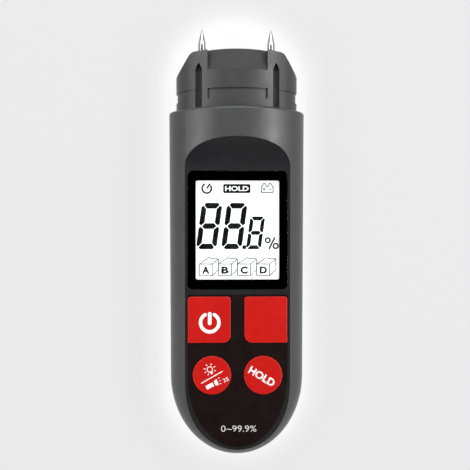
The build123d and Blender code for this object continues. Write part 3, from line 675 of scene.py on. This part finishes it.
@dataclass(frozen=True)
class CellWrap:
    """Printed sleeve of a cell: dark body, a coloured band at the nub end and bare steel ends."""

    name: str
    towards: float
    centre: float = -0.02925
    half: float = 0.02225
    sleeve_start: float = 0.018
    band_start: float = 0.70
    sleeve_end: float = 0.955
    steel: Colour = (0.55, 0.55, 0.56)
    dark: Colour = (0.02, 0.022, 0.026)
    band: Colour = (0.55, 0.20, 0.03)

    def make(self) -> Material:
        """Build the material."""
        wiring = Coating(self.name)
        rate = self.towards / (2 * self.half)
        mapping = wiring.add("ShaderNodeMapping", Location=(0.5, 0.5 - rate * self.centre, 0.5),
                             Scale=(0, rate, 0))
        wiring.link(wiring.coordinates, "Object", mapping, "Vector")
        axes = wiring.add("ShaderNodeSeparateXYZ")
        wiring.link(mapping, "Vector", axes, "Vector")
        bands = wiring.ramp(axes, "Y", [(0.0, self.steel), (self.sleeve_start, self.dark),
                                        (self.band_start, self.band), (self.sleeve_end, self.steel)])
        bands.color_ramp.interpolation = "CONSTANT"
        metal = wiring.greys(axes, "Y", ((0.0, 1), (self.sleeve_start, 0), (self.sleeve_end, 1)))
        metal.color_ramp.interpolation = "CONSTANT"
        wiring.link(bands, "Color", wiring.shader, "Base Color")
        wiring.link(metal, "Color", wiring.shader, "Metallic")
        wiring.roughen(wiring.noise(size=0.003, detail=3.0), "Fac", low=0.26, high=0.4)
        return wiring.material


@dataclass(frozen=True)
class StripedRubber:
    """Contact strip of thin conducting and insulating layers."""

    name: str = "zebra_strip"

    def make(self) -> Material:
        """Build the material."""
        wiring = Coating(self.name)
        layers = wiring.add("ShaderNodeTexWave", wave_type="BANDS", bands_direction="X", Scale=1600.0)
        wiring.link(wiring.coordinates, "Object", layers, "Vector")
        tint = wiring.ramp(layers, "Fac", [(0.4, (0.02, 0.02, 0.022)), (0.6, (0.55, 0.52, 0.50))])
        wiring.link(tint, "Color", wiring.shader, "Base Color")
        wiring.roughen(wiring.noise(size=0.001), "Fac", low=0.6, high=0.75)
        return wiring.material


def dress(finish: object, *nodes: str) -> None:
    """Give one finish to several frame nodes.

    Args:
        finish: Finish whose make method builds the material.
        nodes: Names of the nodes.
    """
    material = finish.make()
    for name in nodes:
        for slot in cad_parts[name].material_slots:
            slot.material = material
        log.info("dressed %s in %s", name, finish.name)


def coat(piece: Piece, material: Material, body: Body) -> None:
    """Give a new piece its material and the body that it moves with.

    Args:
        piece: The new piece.
        material: Its material.
        body: The body that carries it.
    """
    piece.data.materials.clear()
    piece.data.materials.append(material)
    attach(piece, body.value)
    log.info("made %s with %d faces", piece.name, len(piece.data.polygons))


@dataclass
class Housing:
    """Shells, battery door, face panel and printed film."""

    body: MouldedPlastic = MouldedPlastic("housing_grey", (0.051, 0.051, 0.052), 0.34)
    panel: MouldedPlastic = MouldedPlastic("panel_black", (0.012, 0.012, 0.013),
                                           0.38, grain=0.0004, depth=0.000008, specular=0.22)
    film: MouldedPlastic = MouldedPlastic("film_brown_black", (0.0075, 0.0034, 0.0028),
                                          0.34, grain=0.0005, depth=0.000004, specular=0.2)
    screw: TurnedMetal = TurnedMetal("screw_steel", (0.42, 0.42, 0.43), 0.35)
    ink: PrintedInk = PrintedInk("range_ink", (0.56, 0.55, 0.54))
    range_centre: Point = (0.00034, -0.05524)
    range_size: Pair = (0.01035, 0.00185)

    def build(self) -> None:
        """Dress the shells and print the measuring range on the film."""
        dress(self.body, "front_shell", "rear_shell", "battery_door")
        dress(self.panel, "face_panel")
        dress(self.film, "face_overlay")
        dress(self.screw, "housing_screws")
        layer = PrintLayer(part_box("face_overlay")[1][2])
        signs = layer.lettering("range_figures", "0~99.9%", self.range_centre, self.range_size)
        coat(signs, self.ink.make(), Body.HOUSING)


@dataclass
class ProbeHead:
    """Head, pins, torch and what they screw into."""

    plastic: MouldedPlastic = MouldedPlastic("head_grey", (0.037, 0.037, 0.038), 0.38)
    pin: TurnedMetal = TurnedMetal("pin_steel", (0.44, 0.44, 0.45), 0.18)
    brass: TurnedMetal = TurnedMetal("socket_brass", (0.62, 0.40, 0.14), 0.25)
    lens: ClearPlastic = ClearPlastic("lens_clear", (0.85, 0.87, 0.88), opacity=0.25, roughness=0.06)
    lamp: ClearPlastic = ClearPlastic("lamp_resin", (0.80, 0.84, 0.90), opacity=0.45, roughness=0.05)

    def build(self) -> None:
        """Dress the head and its metal parts."""
        dress(self.plastic, "probe_head")
        dress(self.pin, "left_pin", "right_pin")
        dress(self.brass, "pin_sockets", "pin_contacts")
        dress(self.lens, "torch_lens")
        dress(self.lamp, "torch_led")


@dataclass
class DigitShape:
    """Seven slanted segments of one display digit."""

    width: float
    height: float
    level: float
    upright: float
    gap: float = 0.00017
    corner: float = 0.0012
    slant: float = 0.136

    def outlines(self) -> list[list[Point]]:
        """Work out the outline of each segment about the digit's middle.

        Returns:
            Corner lists, before the slant.
        """
        side = self.width / 2
        top = self.height / 2
        cut = self.corner
        gap = self.gap
        bar = self.level
        post = self.upright
        upper = [(-side + cut / 2 + gap, top - cut / 2), (-side + post + gap, top - bar),
                 (side - post - gap, top - bar), (side - cut / 2 - gap, top - cut / 2),
                 (side - cut, top), (-side + cut, top)]
        middle = [(-side + post / 2 + gap, 0), (-side + post + gap, -bar / 2),
                  (side - post - gap, -bar / 2), (side - post / 2 - gap, 0),
                  (side - post - gap, bar / 2), (-side + post + gap, bar / 2)]
        left = [(-side, cut / 2), (-side + post / 2 - gap, gap), (-side + post, bar / 2 + gap),
                (-side + post, top - bar - gap), (-side + cut / 2, top - cut / 2 - gap), (-side, top - cut)]
        flipped_left = [(x, -y) for x, y in reversed(left)]
        mirror = [[(-x, y) for x, y in reversed(shape)] for shape in (left, flipped_left)]
        lower = [(x, -y) for x, y in reversed(upper)]
        return [upper, middle, lower, left, flipped_left, *mirror]

    def build(self, name: str, centre: Point, layer: PrintLayer) -> Piece:
        """Cut the seven segments and join them.

        Args:
            name: Name of the digit.
            centre: Its middle.
            layer: Print layer on the glass.

        Returns:
            The digit.
        """
        parts = []
        for number, shape in enumerate(self.outlines()):
            corners = [(centre[0] + x + self.slant * y, centre[1] + y) for x, y in shape]
            parts.append(layer.plate(f"{name}_{number}", corners))
        return Bench.join(name, parts)


@dataclass
class Display:
    """Window, display glass and all the signs that the display shows."""

    window: ClearPlastic = ClearPlastic("window_clear", (1.0, 1.0, 1.0), opacity=1.0,
                                        roughness=0.02, clearness=1.0)
    mask: PrintedInk = PrintedInk("mask_black", (0.0012, 0.0012, 0.0013), 0.35)
    face: DisplayFace = DisplayFace()
    segment: PrintedInk = PrintedInk("segment_black", (0.006, 0.006, 0.007), 0.45)
    outline: PrintedInk = PrintedInk("outline_grey", (0.07, 0.07, 0.072), 0.45)
    frame_plastic: MouldedPlastic = MouldedPlastic("frame_black", (0.012, 0.012, 0.013), 0.5)
    guide: ClearPlastic = ClearPlastic("guide_milky", (0.84, 0.85, 0.86), opacity=0.75, roughness=0.35)
    strip: StripedRubber = StripedRubber()
    lamp: PrintedInk = PrintedInk("backlight_phosphor", (0.75, 0.66, 0.30), 0.4)
    overlap: float = 1.25
    tall: DigitShape = field(default_factory=lambda: DigitShape(
        width=0.00602, height=0.01357, level=0.00165, upright=0.0015))
    short: DigitShape = field(default_factory=lambda: DigitShape(
        width=0.00437, height=0.00958, level=0.00114, upright=0.00108, gap=0.00014, corner=0.0007))
    first_digit: Point = (-0.00825, 0.00392)
    second_digit: Point = (-0.00086, 0.00392)
    third_digit: Point = (0.00537, 0.00193)
    point: Point = (0.00205, -0.00228)
    point_size: float = 0.00112
    point_corner: float = 0.0002
    percent: Point = (0.01012, -0.00111)
    percent_rings: tuple[tuple[str, Point, float], ...] = (
        ("upper_ring", (-0.00117, 0.00087), 0.00066),
        ("lower_ring", (0.00117, -0.00080), 0.00071),
    )
    percent_run: tuple[Point, Point] = ((-0.00082, -0.00175), (0.00092, 0.00175))
    percent_stroke: float = 0.00046
    badge: Point = (-0.00013, 0.01492)
    badge_size: Pair = (0.0080, 0.00263)
    badge_letters: Pair = (0.0069, 0.00146)
    badge_corner: float = 0.00035
    badge_weight: float = 0.03
    timer: Point = (-0.00895, 0.01496)
    timer_radius: float = 0.00136
    timer_stroke: float = 0.0005
    timer_sweep: Pair = (112, 400)
    timer_hand: Point = (0.00096, 0.00138)
    battery: Point = (0.0088, 0.01475)
    battery_stroke: float = 0.00027
    battery_outline: tuple[Point, ...] = (
        (-1.72, -0.92), (1.72, -0.92), (1.72, 0.78), (1.45, 0.86), (1.15, 1.62), (0.65, 1.62),
        (0.22, 0.80), (-0.22, 0.80), (-0.60, 1.62), (-1.12, 1.62), (-1.45, 0.86), (-1.72, 0.78),
    )
    battery_poles: tuple[tuple[str, Point, Point], ...] = (
        ("plus_level", (-1.35, 0.0), (-0.50, 0.0)),
        ("plus_upright", (-0.92, -0.42), (-0.92, 0.42)),
        ("minus", (0.50, 0.0), (1.35, 0.0)),
    )
    block_start: Point = (-0.01117, -0.01065)
    block_pitch: float = 0.00563
    block_width: float = 0.0038
    block_height: float = 0.00344
    block_stroke: float = 0.00022
    block_letter: Point = (0.00192, 0.00165)
    block_letter_size: float = 0.0021
    block_letter_weight: float = 0.045

    def build(self) -> None:
        """Dress the display's parts and lay its signs on the glass."""
        dress(self.window, "lcd_window")
        dress(self.mask, "window_mask")
        dress(self.face, "lcd_glass")
        dress(self.frame_plastic, "lcd_frame")
        dress(self.guide, "light_guide")
        dress(self.strip, "lcd_contact_strips")
        dress(self.lamp, "backlight_lamps")
        layer = PrintLayer(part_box("lcd_glass")[1][2])
        ink = self.segment.make()
        signs = [
            self.tall.build("digit_tens", self.first_digit, layer),
            self.tall.build("digit_ones", self.second_digit, layer),
            self.short.build("digit_tenths", self.third_digit, layer),
            layer.tile("decimal_point", self.point, (self.point_size,) * 2, self.point_corner),
            self.percent_sign(layer),
            self.timer_sign(layer),
            self.battery_sign(layer),
            layer.tile("hold_badge", self.badge, self.badge_size, self.badge_corner),
        ]
        for sign in signs:
            coat(sign, ink, Body.HOUSING)
        letters = layer.upper().lettering("hold_badge_letters", "HOLD", self.badge, self.badge_letters,
                                          weight=self.badge_weight)
        coat(letters, self.face.make(), Body.HOUSING)
        coat(self.wood_blocks(layer), self.outline.make(), Body.HOUSING)
        coat(self.block_letters(layer), ink, Body.HOUSING)

    def percent_sign(self, layer: PrintLayer) -> Piece:
        """Make the percent sign of two rings and a slanted stroke.

        Args:
            layer: Print layer on the glass.

        Returns:
            The sign.
        """
        rings = [layer.arc(name, shifted(self.percent, place), radius, self.percent_stroke)
                 for name, place, radius in self.percent_rings]
        start, end = (shifted(self.percent, place) for place in self.percent_run)
        stroke = layer.raised(self.overlap).bar("percent_stroke", start, end, self.percent_stroke)
        return Bench.join("percent_sign", [stroke, *rings])

    def timer_sign(self, layer: PrintLayer) -> Piece:
        """Make the switch-off timer's open ring with its hand.

        Args:
            layer: Print layer on the glass.

        Returns:
            The sign.
        """
        ring = layer.arc("timer_ring", self.timer, self.timer_radius, self.timer_stroke, self.timer_sweep)
        hand = layer.bar("timer_hand", self.timer, shifted(self.timer, self.timer_hand), self.timer_stroke)
        return Bench.join("timer_sign", [ring, hand])

    def battery_sign(self, layer: PrintLayer) -> Piece:
        """Make the outline of a battery with its two posts and its poles.

        Args:
            layer: Print layer on the glass.

        Returns:
            The sign.
        """
        corners = [shifted(self.battery, corner, MM) for corner in self.battery_outline]
        parts = [layer.bar(f"battery_side_{number}", start, end, self.battery_stroke, rounded=True)
                 for number, (start, end) in enumerate(zip(corners, corners[1:] + corners[:1]))]
        for name, *ends in self.battery_poles:
            start, end = (shifted(self.battery, place, MM) for place in ends)
            parts.append(layer.bar(name, start, end, self.battery_stroke))
        return Bench.join("battery_sign", parts)

    def block_place(self, number: int) -> Point:
        """Find the low left corner of a wood sample, counted from the left."""
        return shifted(self.block_start, (number * self.block_pitch, 0))

    def wood_blocks(self, layer: PrintLayer) -> Piece:
        """Draw the four wood samples in outline.

        Args:
            layer: Print layer on the glass.

        Returns:
            The outlines as one piece.
        """
        wide = self.block_width
        high = self.block_height
        corners = {
            "low_left": (0.0, 0.0),
            "low_right": (wide, 0.0),
            "top_right": (wide, high),
            "top_left": (0.0, high),
            "back_left": (0.0029, high + 0.00195),
            "dip": (0.0035, high + 0.00158),
            "rise": (0.0048, high + 0.00172),
            "back_right": (wide + 0.0018, high + 0.00152),
            "back_low": (wide + 0.0018, 0.0018),
        }
        runs = ("low_left low_right", "low_right top_right", "top_right top_left", "top_left low_left",
                "top_left back_left", "back_left dip", "dip rise", "rise back_right",
                "top_right back_right", "back_right back_low", "back_low low_right")
        parts = []
        for number in range(4):
            for run in runs:
                start, end = (shifted(self.block_place(number), corners[corner]) for corner in run.split())
                parts.append(layer.bar(f"block_{number}_{run.replace(' ', '_')}", start, end,
                                       self.block_stroke))
        return Bench.join("wood_blocks", parts)

    def block_letters(self, layer: PrintLayer) -> Piece:
        """Print the letters A to D on the wood samples.

        Args:
            layer: Print layer on the glass.

        Returns:
            The letters as one piece.
        """
        parts = []
        for number, letter in enumerate("ABCD"):
            centre = shifted(self.block_place(number), self.block_letter)
            parts.append(layer.lettering(f"letter_{letter}", letter, centre, (self.block_letter_size,) * 2,
                                         weight=self.block_letter_weight))
        return Bench.join("block_letters", parts)


@dataclass
class Keys:
    """Four red keys with the signs printed on them, their switches and plungers."""

    plastic: KeyPlastic = KeyPlastic()
    ink: PrintedInk = PrintedInk("key_ink", (0.88, 0.87, 0.84))
    switch: MouldedPlastic = MouldedPlastic("switch_black", (0.015, 0.015, 0.016), 0.45)
    ring_radius: float = 0.00268
    ring_stroke: float = 0.00099
    ring_gap: float = 30.0
    ring_offset: Point = (0.00012, -0.00082)
    ring_end_round: float = 0.499
    end_overlap: float = 1.25
    stroke_overlap: float = 1.5
    power_low: float = -0.0002
    power_high: float = 0.00254
    power_width: float = 0.00106
    bulb: Point = (-0.00064, 0.00173)
    bulb_radius: float = 0.00078
    ray_angles: tuple[int, ...] = (127, 76, 29, -14, 174, 214, 252)
    ray_reach: Pair = (0.00125, 0.00180)
    foot_angle: float = -62
    foot_reach: Pair = (0.00098, 0.00135)
    foot_half: float = 0.0004
    fine_stroke: float = 0.00021
    torch_strokes: tuple[tuple[str, Point, Point, float], ...] = (
        ("dividing_line", (-3.18, -2.33), (3.14, 1.20), 0.25),
        ("torch_body", (-1.66, -3.67), (0.38, -2.58), 1.18),
        ("torch_ray_top", (1.86, -0.88), (2.22, -0.68), 0.2),
        ("torch_ray_middle", (2.10, -1.66), (2.52, -1.50), 0.2),
        ("torch_ray_low", (2.22, -2.46), (2.66, -2.42), 0.2),
    )
    torch_head: tuple[Point, ...] = ((0.49, -1.84), (1.06, -2.98), (1.98, -2.79), (1.27, -1.02))
    torch_time: Point = (3.98, -1.27)
    torch_time_size: Pair = (0.00165, 0.00108)
    torch_turn: float = 26
    hold_offset: Point = (-0.00039, -0.00042)
    hold_size: Pair = (0.0084, 0.00232)
    hold_turn: float = -31.0
    hold_weight: float = 0.035

    @staticmethod
    def top(key: str) -> tuple[Point, PrintLayer]:
        """Find the top of a key from the frame.

        Args:
            key: Name of the key's node.

        Returns:
            Its middle in plan, and the print layer on it.
        """
        low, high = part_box(key)
        return ((low[0] + high[0]) / 2, (low[1] + high[1]) / 2), PrintLayer(high[2])

    @staticmethod
    def heading(angle: float) -> Point:
        """Give the direction of an angle in degrees, anticlockwise from the right."""
        return (math.cos(math.radians(angle)), math.sin(math.radians(angle)))

    def build(self) -> None:
        """Dress the keys and print their signs."""
        names = [body.value.split("_")[0] for body in (Body.POWER, Body.SELECT, Body.LIGHT, Body.HOLD)]
        dress(self.plastic, *(f"{name}_key" for name in names))
        dress(self.switch, *(f"{name}_switch" for name in names), *(f"{name}_plunger" for name in names))
        ink = self.ink.make()
        coat(self.power_sign(), ink, Body.POWER)
        coat(self.light_sign(), ink, Body.LIGHT)
        coat(self.hold_sign(), ink, Body.HOLD)

    def power_sign(self) -> Piece:
        """Make the power sign: an open ring with a stroke in its gap.

        Returns:
            The sign.
        """
        middle, layer = self.top("power_key")
        hub = shifted(middle, self.ring_offset)
        ring = layer.arc("power_ring", hub, self.ring_radius, self.ring_stroke,
                         (90 + self.ring_gap, 450 - self.ring_gap))
        ends = []
        for side in (-1, 1):
            tip = shifted(hub, self.heading(90 + side * self.ring_gap), self.ring_radius)
            ends.append(layer.raised(self.end_overlap).tile(
                f"power_ring_end_{side}", tip, (self.ring_stroke,) * 2,
                self.ring_stroke * self.ring_end_round))
        stroke = layer.raised(self.stroke_overlap).bar(
            "power_stroke", shifted(hub, (0, self.power_low)), shifted(hub, (0, self.power_high)),
            self.power_width, rounded=True)
        return Bench.join("power_sign", [ring, stroke, *ends])

    def light_sign(self) -> Piece:
        """Make the light key's signs: a shining bulb over a line, and a torch with its time.

        Returns:
            The signs.
        """
        middle, layer = self.top("light_key")
        bulb = shifted(middle, self.bulb)
        parts = [layer.arc("bulb", bulb, self.bulb_radius, self.fine_stroke)]
        for angle in self.ray_angles:
            out = Vector(self.heading(angle))
            start, end = (Vector(bulb) + out * reach for reach in self.ray_reach)
            parts.append(layer.bar(f"bulb_ray_{angle}", start.to_tuple(), end.to_tuple(), self.fine_stroke))
        toe = Vector(self.heading(self.foot_angle))
        across = Vector((-toe.y, toe.x)) * self.foot_half
        for reach in self.foot_reach:
            foot = Vector(bulb) + toe * reach
            parts.append(layer.bar(f"bulb_foot_{reach}", (foot - across).to_tuple(),
                                   (foot + across).to_tuple(), self.fine_stroke))
        for name, start, end, width in self.torch_strokes:
            parts.append(layer.bar(name, shifted(middle, start, MM), shifted(middle, end, MM), MM * width))
        parts.append(layer.plate("torch_head", [shifted(middle, corner, MM) for corner in self.torch_head]))
        parts.append(layer.lettering("torch_time", "2S", shifted(middle, self.torch_time, MM),
                                     self.torch_time_size, turn=self.torch_turn))
        return Bench.join("light_sign", parts)

    def hold_sign(self) -> Piece:
        """Print the slanted word on the hold key.

        Returns:
            The word.
        """
        middle, layer = self.top("hold_key")
        return layer.lettering("hold_word", "HOLD", shifted(middle, self.hold_offset), self.hold_size,
                               turn=self.hold_turn, weight=self.hold_weight)


@dataclass
class Electronics:
    """Circuit board and what is soldered to it."""

    board: CircuitLaminate = CircuitLaminate()
    chip: MouldedPlastic = MouldedPlastic("chip_resin", (0.014, 0.014, 0.015), 0.55)
    component: MouldedPlastic = MouldedPlastic("component_tan", (0.30, 0.22, 0.13), 0.5)
    screw: TurnedMetal = TurnedMetal("board_screw_steel", (0.48, 0.48, 0.49), 0.32)

    def build(self) -> None:
        """Dress the board and its parts."""
        dress(self.board, "main_board")
        dress(self.chip, "controller_chip", "amplifier_chip")
        dress(self.component, "small_components")
        dress(self.screw, "board_screws")


@dataclass
class BatteryBay:
    """Cells, contacts and springs."""

    contact: TurnedMetal = TurnedMetal("contact_nickel", (0.66, 0.65, 0.60), 0.28)
    left: CellWrap = CellWrap("left_cell_wrap", 1)
    right: CellWrap = CellWrap("right_cell_wrap", -1)

    def build(self) -> None:
        """Dress the cells and contacts."""
        dress(self.contact, "positive_contact", "negative_contact", "bridge_contact", "battery_springs")
        dress(self.left, "left_cell")
        dress(self.right, "right_cell")


@dataclass(frozen=True)
class Softbox:
    """One lamp of the studio, aimed at the meter."""

    name: str
    lean: float
    towards: float
    distance: float
    size: Pair
    power: float

    def light(self) -> None:
        """Hang the lamp and aim it."""
        lean = math.radians(self.lean)
        towards = math.radians(self.towards)
        place = Vector((math.sin(lean) * math.cos(towards), math.sin(lean) * math.sin(towards),
                        math.cos(lean)))
        place *= self.distance
        Bench.clear()
        bpy.ops.object.light_add(type="AREA", location=place)
        lamp = bpy.context.active_object
        lamp.name = self.name
        lamp.data.shape = "RECTANGLE"
        lamp.data.size, lamp.data.size_y = self.size
        lamp.data.energy = self.power
        lamp.rotation_euler = (-place).to_track_quat("-Z", "Y").to_euler()


@dataclass
class Studio:
    """Floor, sky, lamps and camera."""

    camera_height: float = 0.45
    camera_place: Point = (-0.01625, 0.0013)
    camera_turn: float = -2.07
    focal_pixels: float = 1470.0
    picture: float = 470.0
    nearest: float = 0.01
    sensor: float = 36.0
    backdrop: float = 0.812
    halo_near: float = 0.019
    halo_far: float = 0.0295
    halo_low: float = -0.044
    halo_high: float = 0.046
    halo_stops: tuple[Pair, ...] = ((0.0, 1.0), (0.21, 0.956), (0.35, 0.904), (0.47, 0.871), (0.70, 0.838))
    sky_stops: tuple[Pair, ...] = ((0.62, 0.16), (0.97, 0.0))
    horizon: float = 0.30
    floor_colour: Colour = (0.8, 0.8, 0.8)
    floor_glow: float = 0.93
    ambient: float = 0.20
    floor_size: float = 3.0
    lamps: tuple[Softbox, ...] = (
        Softbox("left_strip", lean=41, towards=176, distance=0.8, size=(0.9, 0.16), power=3.3),
        Softbox("right_strip", lean=41, towards=4, distance=0.8, size=(0.9, 0.14), power=4.9),
        Softbox("top_key", lean=36, towards=90, distance=0.85, size=(0.7, 0.3), power=3.4),
    )

    def build(self) -> None:
        """Set up everything around the meter."""
        self.lay_floor()
        self.paint_sky()
        for lamp in self.lamps:
            lamp.light()
        self.place_camera()
        settings = bpy.context.scene.view_settings
        settings.view_transform = "Standard"

    def lay_floor(self) -> None:
        """Lay the pale floor, which keeps the meter's shadow."""
        Bench.clear()
        bpy.ops.mesh.primitive_plane_add(size=self.floor_size, location=(0, 0, 0))
        floor = Bench.take("floor")
        wiring = Coating("floor_pale", Roughness=0.9, Specular_IOR_Level=0.0,
                         Base_Color=(*self.floor_colour, 1))
        # The floor's glow carries the painted pool of light round the meter.
        glow = wiring.add("ShaderNodeEmission", Strength=1.0)
        wiring.link(self.halo(wiring), "Color", glow, "Color")
        share = wiring.add("ShaderNodeMath", operation="MULTIPLY")
        wiring.link(wiring.seen_rays(), "Value", share, 0)
        share.inputs[1].default_value = self.floor_glow
        mix = wiring.add("ShaderNodeMixShader")
        wiring.link(share, "Value", mix, 0)
        wiring.link(wiring.shader, "BSDF", mix, 1)
        wiring.link(glow, "Emission", mix, 2)
        wiring.link(mix, "Shader", wiring.output, "Surface")
        floor.data.materials.append(wiring.material)

    def halo(self, wiring: Coating) -> Node:
        """Paint a pool of light on the floor, a little paler close to the meter.

        Args:
            wiring: Nodes of the floor's material.

        Returns:
            Ramp with the floor's colour.
        """
        axes = wiring.add("ShaderNodeSeparateXYZ")
        wiring.link(wiring.coordinates, "Object", axes, "Vector")
        held = wiring.add("ShaderNodeClamp", Min=self.halo_low, Max=self.halo_high)
        wiring.link(axes, "Y", held, "Value")
        along = wiring.add("ShaderNodeMath", operation="SUBTRACT")
        wiring.link(axes, "Y", along, 0)
        wiring.link(held, "Result", along, 1)
        offset = wiring.add("ShaderNodeCombineXYZ")
        wiring.link(axes, "X", offset, "X")
        wiring.link(along, "Value", offset, "Y")
        distance = wiring.add("ShaderNodeVectorMath", operation="LENGTH")
        wiring.link(offset, "Vector", distance, 0)
        reach = wiring.add("ShaderNodeMapRange", From_Min=self.halo_near, From_Max=self.halo_far)
        wiring.link(distance, "Value", reach, "Value")
        return wiring.greys(reach, "Result", (*self.halo_stops, (1.0, self.backdrop)))

    def paint_sky(self) -> None:
        """Make the sky soft and pale round the horizon, and dark straight overhead."""
        world = bpy.data.worlds.new("studio_sky")
        bpy.context.scene.world = world
        world.use_nodes = True
        wiring = Wiring(world.node_tree)
        output = wiring.add("ShaderNodeOutputWorld")
        soft = wiring.add("ShaderNodeBackground", Color=(1, 1, 1, 1), Strength=self.ambient)
        seen = wiring.add("ShaderNodeBackground", Strength=1.0)
        axes = wiring.add("ShaderNodeSeparateXYZ")
        wiring.link(wiring.coordinates, "Generated", axes, "Vector")
        stops = ((0.0, self.backdrop), (self.horizon, self.backdrop), *self.sky_stops)
        wiring.link(wiring.greys(axes, "Z", stops), "Color", seen, "Color")
        mix = wiring.add("ShaderNodeMixShader")
        wiring.link(wiring.seen_rays(), "Value", mix, 0)
        wiring.link(soft, "Background", mix, 1)
        wiring.link(seen, "Background", mix, 2)
        wiring.link(mix, "Shader", output, "Surface")

    def place_camera(self) -> None:
        """Hang the camera over the meter, a little to the left, looking down at its face."""
        Bench.clear()
        bpy.ops.object.camera_add(location=(*self.camera_place, self.camera_height),
                                  rotation=(0, math.radians(self.camera_turn), 0))
        camera = bpy.context.active_object
        camera.name = "front_camera"
        camera.data.sensor_width = self.sensor
        camera.data.lens = self.focal_pixels / self.picture * self.sensor
        camera.data.clip_start = self.nearest
        bpy.context.scene.camera = camera


def main() -> None:
    """Build every sub-assembly of the meter and the studio round it."""
    logging.basicConfig(level=logging.INFO, format="%(name)s: %(message)s")
    for assembly in (Housing(), ProbeHead(), Display(), Keys(), Electronics(), BatteryBay(), Studio()):
        assembly.build()
        log.info("finished %s", type(assembly).__name__)


if __name__ == "__main__":
    main()
